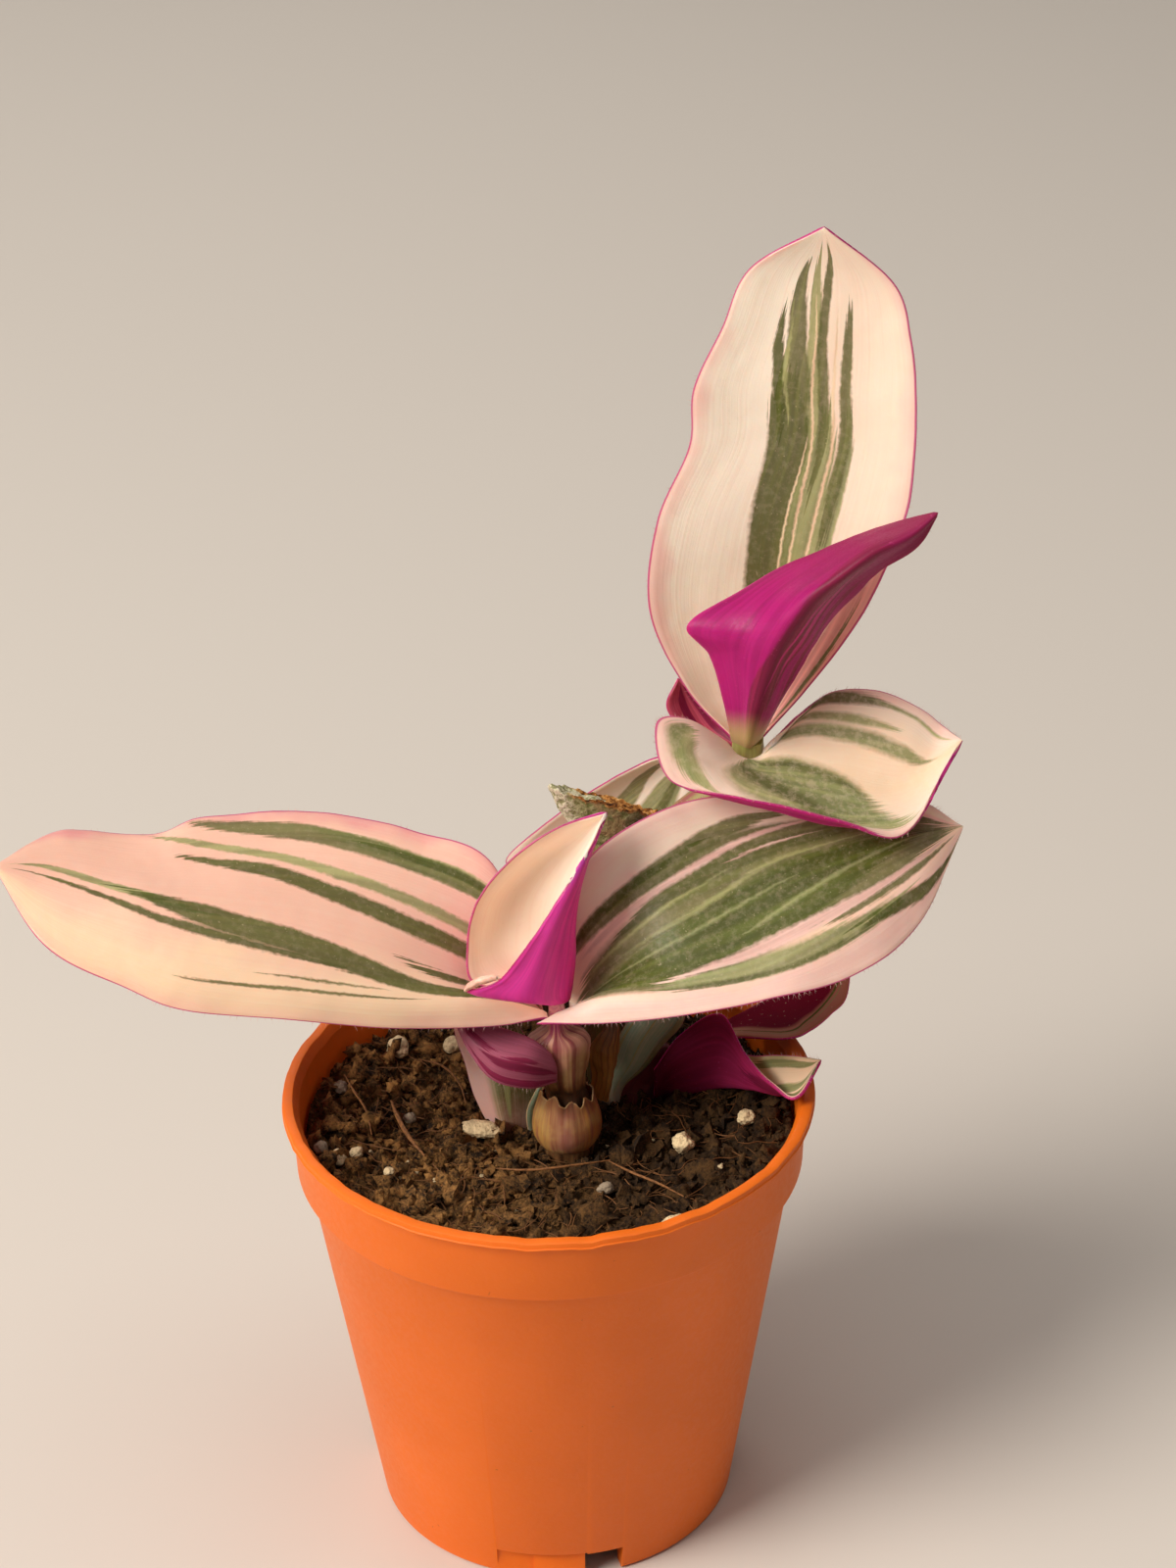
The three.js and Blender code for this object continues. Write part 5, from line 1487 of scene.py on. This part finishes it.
# Stations up each stem: [x, y, z, radius across X, radius across Y], in millimetres.
FRONT_STEM = [
    (2.1, -1.9, 43.5, 2.4, 2.4),
    (2.0, -1.9, 46.5, 2.9, 2.9),
    (2.0, -1.8, 49.5, 3.2, 3.2),
    (2.0, -1.8, 52.2, 2.9, 2.9),
    (1.9, -1.8, 54.8, 2.3, 2.2),
    (1.5, -1.8, 57.0, 2.9, 2.4),
    (1.3, -1.7, 59.5, 3.4, 2.6),
    (1.2, -1.5, 61.4, 3.4, 2.7),
    (1.1, -1.4, 62.9, 1.2, 2.3),
    (1.1, -1.4, 65.2, 0.8, 2.4),
]
MAIN_STEM = [
    (7.0, 11.5, 42.0, 2.4, 2.4),
    (6.8, 11.3, 52.0, 2.5, 2.5),
    (6.4, 11.0, 64.0, 2.5, 2.5),
    (6.0, 10.6, 73.0, 2.9, 2.8),
    (6.2, 10.2, 77.0, 2.6, 2.5),
    (6.6, 9.9, 80.2, 2.9, 2.4),
]
UPPER_SHOOT = [
    (10.2, 11.1, 75.4, 1.9, 1.9),
    (14.0, 12.4, 79.5, 2.0, 2.0),
    (19.5, 13.4, 84.0, 2.0, 2.0),
    (22.5, 13.6, 87.2, 2.0, 2.0),
    (22.9, 13.0, 91.0, 1.7, 1.7),
]
LOW_SHOOT = [
    (9.6, 7.6, 43.0, 2.6, 1.2),
    (9.8, 8.3, 46.4, 3.1, 1.1),
    (10.8, 8.8, 49.0, 3.0, 1.0),
    (12.6, 9.0, 51.4, 2.0, 0.8),
    (14.0, 9.0, 52.8, 0.8, 0.5),
]

# Stations along the small lip that is rolled outward at the low corner of the middle leaf.
ROLLED_LIP = [
    (-8.7, -7.2, 71.2, 0.15, 0.15),
    (-8.1, -7.3, 71.9, 0.38, 0.36),
    (-7.0, -7.5, 72.6, 0.46, 0.4),
    (-5.6, -7.6, 73.0, 0.38, 0.36),
    (-4.4, -7.6, 73.0, 0.15, 0.15),
]

# The torn sleeve round the front stem, in millimetres: (radius, height) up its side, its middle.
CUFF = [(1.8, 46.8), (3.2, 47.9), (3.85, 49.5), (3.85, 51.1), (3.4, 52.8), (2.85, 54.3)]
CUFF_MIDDLE = (2.0, -1.8)


class POTTED_OT_stems(Operator):
    """Grows the stems: the swollen front stem, the main stem with its torn cut end, two shoots"""

    bl_idname = "potted.stems"
    bl_label = "Stems"

    def execute(self, context):
        self.front()
        self.main()
        self.shoots()
        return {"FINISHED"}

    def stem(self, name, skin, *shape):
        """One stem between its stations, with its finish."""
        finish_piece(tube(*shape), name + "_body", [skin], [name])

    def front(self):
        dark, tan = (0.03, 0.011, 0.004), (0.42, 0.25, 0.1)
        rose, pale = (0.52, 0.17, 0.17), (0.62, 0.3, 0.2)
        tones = [
            (0.0, (0.2, 0.09, 0.03), dark),
            (0.44, dark, (0.06, 0.02, 0.006)),
            (0.52, (0.24, 0.1, 0.03), (0.09, 0.025, 0.01)),
            (0.62, tan, (0.2, 0.05, 0.03)),
            (0.74, pale, (0.28, 0.07, 0.06)),
            (0.86, pale, (0.36, 0.06, 0.1)),
            (1.0, rose, (0.4, 0.04, 0.14)),
        ]
        skin = striped_stem_skin("front_stem_skin", tones, 20)

        def ribs(angle, share):
            upper = max(0.0, (share - 0.5) * 2)
            rib = 0.10 * math.sin(angle * 11 + share * 3) * upper
            return rib + 0.05 * math.sin(angle * 5 + 1)

        self.stem("front_stem", skin, FRONT_STEM, 72, 100, ribs, 3.0, 0.1)
        self.torn_cuff()

    def torn_cuff(self):
        """The swollen outer sleeve of the front stem, torn off along its papery upper edge."""
        rise = 30
        shape = curve_at(CUFF, np.linspace(0, 1, rise + 1))

        def torn(angle, share, side):
            tear = 1.5 * noise.noise(side * 1.9 + Vector((3, 0, 5)))
            tear += 0.9 * noise.noise(side * 2.7 + Vector((0, 2, 1)))
            tear += 0.2 * noise.noise(side * 11 + Vector((5, 2, 1)))
            radius, height = shape[round(share * rise)]
            upper = max(0.0, share - 0.6) / 0.4
            height += upper * tear
            radius += upper**3 * (0.1 + 0.7 * noise.noise(side * 2.3))
            radius += 0.03 * math.sin(angle * 9 + 2) * share
            radius += 0.07 * noise.noise(Vector((angle * 2, share * 4, 2)))
            x, y = CUFF_MIDDLE
            return x + radius * math.cos(angle), y + 0.97 * radius * math.sin(angle), height

        cuff = sleeve(110, rise, torn)
        thicken(cuff, 0.14 * MM, -1)
        apply_all(cuff)
        finish_piece(cuff, "front_stem_cuff", [cuff_skin()])

    def main(self):
        tones = [
            (0.0, (0.2, 0.17, 0.05), (0.13, 0.06, 0.03)),
            (0.6, (0.24, 0.2, 0.07), (0.26, 0.12, 0.06)),
            (0.88, (0.28, 0.27, 0.09), (0.28, 0.2, 0.08)),
            (1.0, (0.3, 0.3, 0.1), (0.2, 0.2, 0.06)),
        ]

        def flare(angle, share):
            joint = 0.35 * math.exp(-(((share - 0.5) / 0.02) ** 2))
            return joint + 0.1 * math.sin(angle * 4) * share

        skin = striped_stem_skin("main_stem_skin", tones, 14)
        self.stem("main_stem", skin, MAIN_STEM, 64, 110, flare, 9.0, 0.16)
        self.cut_end()

    def cut_end(self):
        """The dry cut end of the main stem: a crusted lobe on its left and a torn brown top."""
        outside = 0.62  # share of the rows that climb the outside
        foot, top, middle = 79.6, 85.3, (7.0, 9.5)

        def crusted(angle, share, side):
            left = max(0.0, -math.cos(angle)) ** 3
            rim = top - 1.75 * math.cos(angle) - 0.8 * math.sin(angle) + 0.35 * left
            rim += 0.5 * noise.noise(side * 3 + Vector((0, 0, 4)))
            rim += 0.28 * noise.noise(side * 11 + Vector((0, 0, 8)))
            wide = 5.7 + 0.35 * left + 0.3 * noise.noise(side * 2.2)
            if share <= outside:
                climb = share / outside
                height = foot + climb * (rim - foot)
                radius = 2.7 + (wide - 2.7) * climb**1.25
                radius += 0.8 * left * math.sin(math.pi * min(1.0, climb * 0.82))
            else:
                inner = (share - outside) / (1 - outside)
                radius = wide * (1 - inner) + 0.05
                height = rim + (top - 0.1 - rim) * inner
                height -= 0.55 * math.sin(math.pi * min(1, inner * 1.4))
                height += 0.4 * noise.noise(side * radius)
            lump = noise.fractal(Vector((side.x * 3.4, side.y * 3.4, share * 7)), 0.6, 2.1, 4)
            radius += 0.16 * lump * min(1.0, radius)
            deep = 0.34 * radius + 0.4 * min(1.0, radius)
            x, y = middle
            return x + radius * math.cos(angle), y + deep * math.sin(angle), height

        funnel = sleeve(120, 56, crusted)
        close_ends(funnel)
        finish_piece(funnel, "main_stem_cut_end", [cut_end_skin()], (), 70)

    def shoots(self):
        tones = [
            (0.0, (0.3, 0.24, 0.08), (0.3, 0.1, 0.07)),
            (0.6, (0.34, 0.28, 0.08), (0.3, 0.06, 0.08)),
            (1.0, (0.42, 0.38, 0.1), (0.3, 0.3, 0.07)),
        ]
        skin = striped_stem_skin("shoot_skin", tones, 12)
        self.stem("upper_shoot", skin, UPPER_SHOOT, 40, 60, None, 2.0, 0.1)
        shaded = [
            (0.0, (0.1, 0.012, 0.01), (0.03, 0.006, 0.004)),
            (0.6, (0.16, 0.012, 0.02), (0.05, 0.006, 0.008)),
            (1.0, (0.2, 0.015, 0.03), (0.08, 0.008, 0.012)),
        ]
        wine = striped_stem_skin("shaded_shoot_skin", shaded, 9)
        self.stem("low_shoot", wine, LOW_SHOOT, 40, 40, None, 5.0, 0.08)


class POTTED_OT_leaves(Operator):
    """Grows every leaf: a thin lofted blade with a striped face, a magenta back and fine hairs"""

    bl_idname = "potted.leaves"
    bl_label = "Leaves"

    def execute(self, context):
        self.streaks = streak_group()
        colours = settings().plant
        margin = plain_skin("leaf_margin", toned(colours.magenta, 0.95))
        pale = plain_skin("pale_margin", (0.55, 0.42, 0.2))
        self.hair = plain_skin("leaf_hair", (0.7, 0.4, 0.34), 0.5)
        for k, name in enumerate(RAILS):
            if name == "dried_sheath":
                self.sheath()
            else:
                self.blade(name, k * SEED_STEP, pale if name in PALE_MARGINED else margin)
        return {"FINISHED"}

    def blade(self, name, seed, margin):
        """One leaf: lofted through its rails, ruffled, thickened and striped."""
        facing, columns, rows = BLADES[name]
        grid, along = loft(name, columns, rows)
        grid = self.ruffled(grid, along, seed)
        if name in NIPS:
            self.nip(grid, along, *NIPS[name])
        leaf, i, j = sheet_grid(columns, rows)
        set_corners(leaf, grid[j, i])
        weld(leaf, flip=facing < 0)
        inside = leaf.vertex_groups.new(name="blade")
        rim = edge_corners(leaf)
        inside.add([k for k in range(len(leaf.data.vertices)) if k not in rim], 1.0, "REPLACE")
        inside.add(sorted(rim), 0.3, "REPLACE")
        thick = thicken(leaf, settings().plant.blade)
        thick.vertex_group = "blade"
        thick.material_offset = 1
        thick.material_offset_rim = 2
        skins = [leaf_skin(name, under, seed, self.streaks) for under in (False, True)] + [margin]
        for skin in skins:
            leaf.data.materials.append(skin)
        apply_all(leaf)
        finish_piece(leaf, name + "_blade", skins, [name], 45)
        self.hairs(name, grid, seed)
        if name == "centre_leaf":
            self.rolled_lip()

    def rolled_lip(self):
        """The low corner of the middle leaf, rolled outward into a small pale lip."""
        roll = tube(ROLLED_LIP, 28, 40, None, 8.0, 0.05)
        pale = plain_skin("rolled_lip", tuple(settings().plant.pink))
        finish_piece(roll, "centre_leaf_lip", [pale])

    def ruffled(self, grid, along, seed):
        """Gentle unevenness, strongest at the margins, that leaves the base and tip alone."""
        facing = surface_normals(grid)
        rows, columns = grid.shape[:2]
        out = grid.copy()
        for row in range(1, rows - 1):
            ends = min(1.0, along[row] * 5, (1 - along[row]) * 6)
            for column in range(columns):
                side = abs(column / (columns - 1) - 0.5) * 2
                at = Vector(grid[row, column] / MM) * 0.16 + Vector((seed, 0, 0))
                wave = noise.noise(at) * (0.1 + 0.2 * side**3)
                ripple = noise.noise(at * 4) * 0.05
                out[row, column] += facing[row, column] * (wave + ripple) * ends * MM
        return out

    def nip(self, grid, along, place, spread, depth):
        """Draws the last margin in towards the middle of the blade, in a small notch."""
        last = grid.shape[1] - 1
        for row, share in enumerate(along):
            pull = depth * math.exp(-(((share - place) / spread) ** 2)) * MM
            inward = grid[row, last * 3 // 4] - grid[row, last]
            inward /= max(1e-9, np.linalg.norm(inward))
            for column in range(last * 3 // 4, last + 1):
                reach = (column / last - 0.75) * 4
                grid[row, column] += inward * pull * reach**2

    def hairs(self, name, grid, seed):
        """Short fine hairs along both margins."""
        count = HAIRS.get(name, 0)
        if not count:
            return
        rng = random.Random(int(seed * 10) + 7)
        facing = surface_normals(grid)
        rows = grid.shape[0]
        clear_selection()
        bpy.ops.mesh.primitive_cone_add(vertices=3, radius1=1, depth=1, location=(0, 0, 0.5))
        bpy.ops.object.transform_apply(location=True)
        hair = taken_shape(bpy.context.object)
        placements = []
        for _ in range(count):
            side = rng.choice((0, -1))
            row = int(rng.uniform(0.06, 0.985) * rows)
            inner = 1 if side == 0 else -2
            root = grid[row, side]
            out = Vector(root - grid[row, inner]).normalized()
            on = Vector(grid[min(row + 1, rows - 1), side] - grid[row - 1, side]).normalized()
            lean = out + on * rng.uniform(-0.5, 0.6)
            lean += Vector(facing[row, side]) * rng.uniform(-0.6, 0.6)
            lean.normalize()
            turn = np.array(lean.to_track_quat("Z", "X").to_matrix())
            tall = settings().plant.hair * rng.uniform(0.35, 1.1)
            size = np.array([HAIR_RADIUS, HAIR_RADIUS, tall])
            placements.append((0, turn * size, root - np.array(lean) * 0.1 * MM))
        finish_copies(name + "_hairs", self.hair, [hair], placements)

    def sheath(self):
        """The dried, torn sheath flap behind the front stem."""
        _, columns, rows = BLADES["dried_sheath"]
        grid, _ = loft("dried_sheath", columns, rows)
        flap, i, j = sheet_grid(columns, rows)
        places = grid[j, i]
        for place in places:
            place += np.array(noise.noise_vector(Vector(place) * 900)) * 0.18 * MM
        set_corners(flap, places)
        weld(flap)
        thicken(flap, 0.16 * MM)
        apply_all(flap)
        tones = [
            (0.0, (0.36, 0.2, 0.035), (0.22, 0.1, 0.018)),
            (0.55, (0.28, 0.14, 0.025), (0.15, 0.065, 0.014)),
            (1.0, (0.1, 0.04, 0.01), (0.04, 0.014, 0.004)),
        ]
        skin = striped_stem_skin("dried_sheath_skin", tones, 9)
        finish_piece(flap, "dried_sheath_flap", [skin], ["dried_sheath"])


# ------------------------------------------------------------------ stage
# Each light: its place and its width in metres, which power it takes and what share, its colour.
LIGHTS = {
    "key_light": ((-0.73, -0.44, 0.74), 0.6, "key", 1, (1.0, 0.95, 0.88)),
    "fill_light": ((0.75, -0.5, 0.35), 0.7, "fill", 1, (1.0, 0.97, 0.94)),
    "back_light": ((-0.25, 0.75, 0.6), 0.5, "fill", 3, (1.0, 0.96, 0.9)),
    "top_light": ((0.05, -0.05, 1.2), 0.9, "top", 1, (1.0, 0.97, 0.93)),
}
LIGHTS_AIM_AT = Vector((0.0, 0.0, 0.07))
FLOOR_SIDE = 8  # metres
SKY, SKY_STRENGTH = (1.0, 0.97, 0.93, 1), 0.15
SENSOR_WIDTH = 36  # millimetres
CAMERA_AIMS_AT = Vector((5.04, 0, 92.56)) * MM


class POTTED_OT_stage(Operator):
    """Sets the pale floor, the soft lights and the camera"""

    bl_idname = "potted.stage"
    bl_label = "Stage"

    def execute(self, context):
        sizes = settings().stage
        self.floor(sizes)
        for name, (place, width, power, share, colour) in LIGHTS.items():
            self.light(name, place, width, getattr(sizes, power) * share, colour)
        self.world()
        self.camera(sizes)
        view = context.scene.view_settings
        view.view_transform = "Standard"
        view.look = "None"
        return {"FINISHED"}

    def floor(self, sizes):
        clear_selection()
        bpy.ops.mesh.primitive_plane_add(size=FLOOR_SIDE)
        floor = bpy.context.object
        floor.name = "pale_floor"
        bench = Bench("pale_floor")
        cloudy = bench.grain(bench.object_place(), 3, 2)
        colour = bench.mix(cloudy, toned(sizes.floor, 0.985), sizes.floor)
        bench.set_skin(Base_Color=colour, Roughness=0.9, Specular_IOR_Level=0.2)
        floor.data.materials.append(bench.material)

    def light(self, name, place, size, power, colour):
        data = bpy.data.lights.new(name, "AREA")
        data.shape = "DISK"
        data.size = size
        data.energy = power
        data.color = colour
        lamp = bpy.data.objects.new(name, data)
        lamp.location = place
        aim = LIGHTS_AIM_AT - Vector(place)
        lamp.rotation_mode = "QUATERNION"
        lamp.rotation_quaternion = aim.to_track_quat("-Z", "Y")
        bpy.context.scene.collection.objects.link(lamp)

    def world(self):
        world = bpy.data.worlds.new("studio")
        world.use_nodes = True
        sky = world.node_tree.nodes["Background"]
        sky.inputs["Color"].default_value = SKY
        sky.inputs["Strength"].default_value = SKY_STRENGTH
        bpy.context.scene.world = world

    def camera(self, sizes):
        data = bpy.data.cameras.new("photo_camera")
        data.lens = sizes.lens
        data.sensor_width = SENSOR_WIDTH
        data.clip_start = 0.01
        tilt, roll = sizes.elevation, sizes.roll
        forward = Vector((0, math.cos(tilt), -math.sin(tilt)))
        right = Vector((1, 0, 0))
        up = right.cross(forward)
        side = right * math.cos(roll) + up * math.sin(roll)
        top = up * math.cos(roll) - right * math.sin(roll)
        camera = bpy.data.objects.new("photo_camera", data)
        turn = Matrix((side, top, -forward)).transposed()
        place = Matrix.Translation(CAMERA_AIMS_AT - forward * sizes.distance)
        camera.matrix_world = place @ turn.to_4x4()
        bpy.context.scene.collection.objects.link(camera)
        bpy.context.scene.camera = camera


class POTTED_PT_panel(Panel):
    bl_label = "Potted tradescantia"
    bl_idname = "POTTED_PT_panel"
    bl_space_type = "VIEW_3D"
    bl_region_type = "UI"
    bl_category = "Plant"

    def draw(self, context):
        layout = self.layout
        for group in ("pot", "soil", "plant", "stage"):
            box = layout.box()
            box.label(text=group.capitalize())
            values = getattr(settings(), group)
            for key in values.bl_rna.properties.keys():
                if key not in ("rna_type", "name"):
                    box.prop(values, key)
        for operator in OPERATORS:
            layout.operator(operator.bl_idname)


OPERATORS = (
    POTTED_OT_pot,
    POTTED_OT_soil,
    POTTED_OT_stems,
    POTTED_OT_leaves,
    POTTED_OT_stage,
)
CLASSES = (PotSizes, SoilSizes, PlantSizes, StageSizes, PlantSettings, *OPERATORS, POTTED_PT_panel)


def register():
    for cls in CLASSES:
        bpy.utils.register_class(cls)
    bpy.types.Scene.potted_plant = PointerProperty(type=PlantSettings)


def unregister():
    del bpy.types.Scene.potted_plant
    for cls in reversed(CLASSES):
        bpy.utils.unregister_class(cls)


def main():
    register()
    bpy.ops.potted.pot()
    bpy.ops.potted.soil()
    bpy.ops.potted.stems()
    bpy.ops.potted.leaves()
    bpy.ops.potted.stage()


if __name__ == "__main__":
    main()
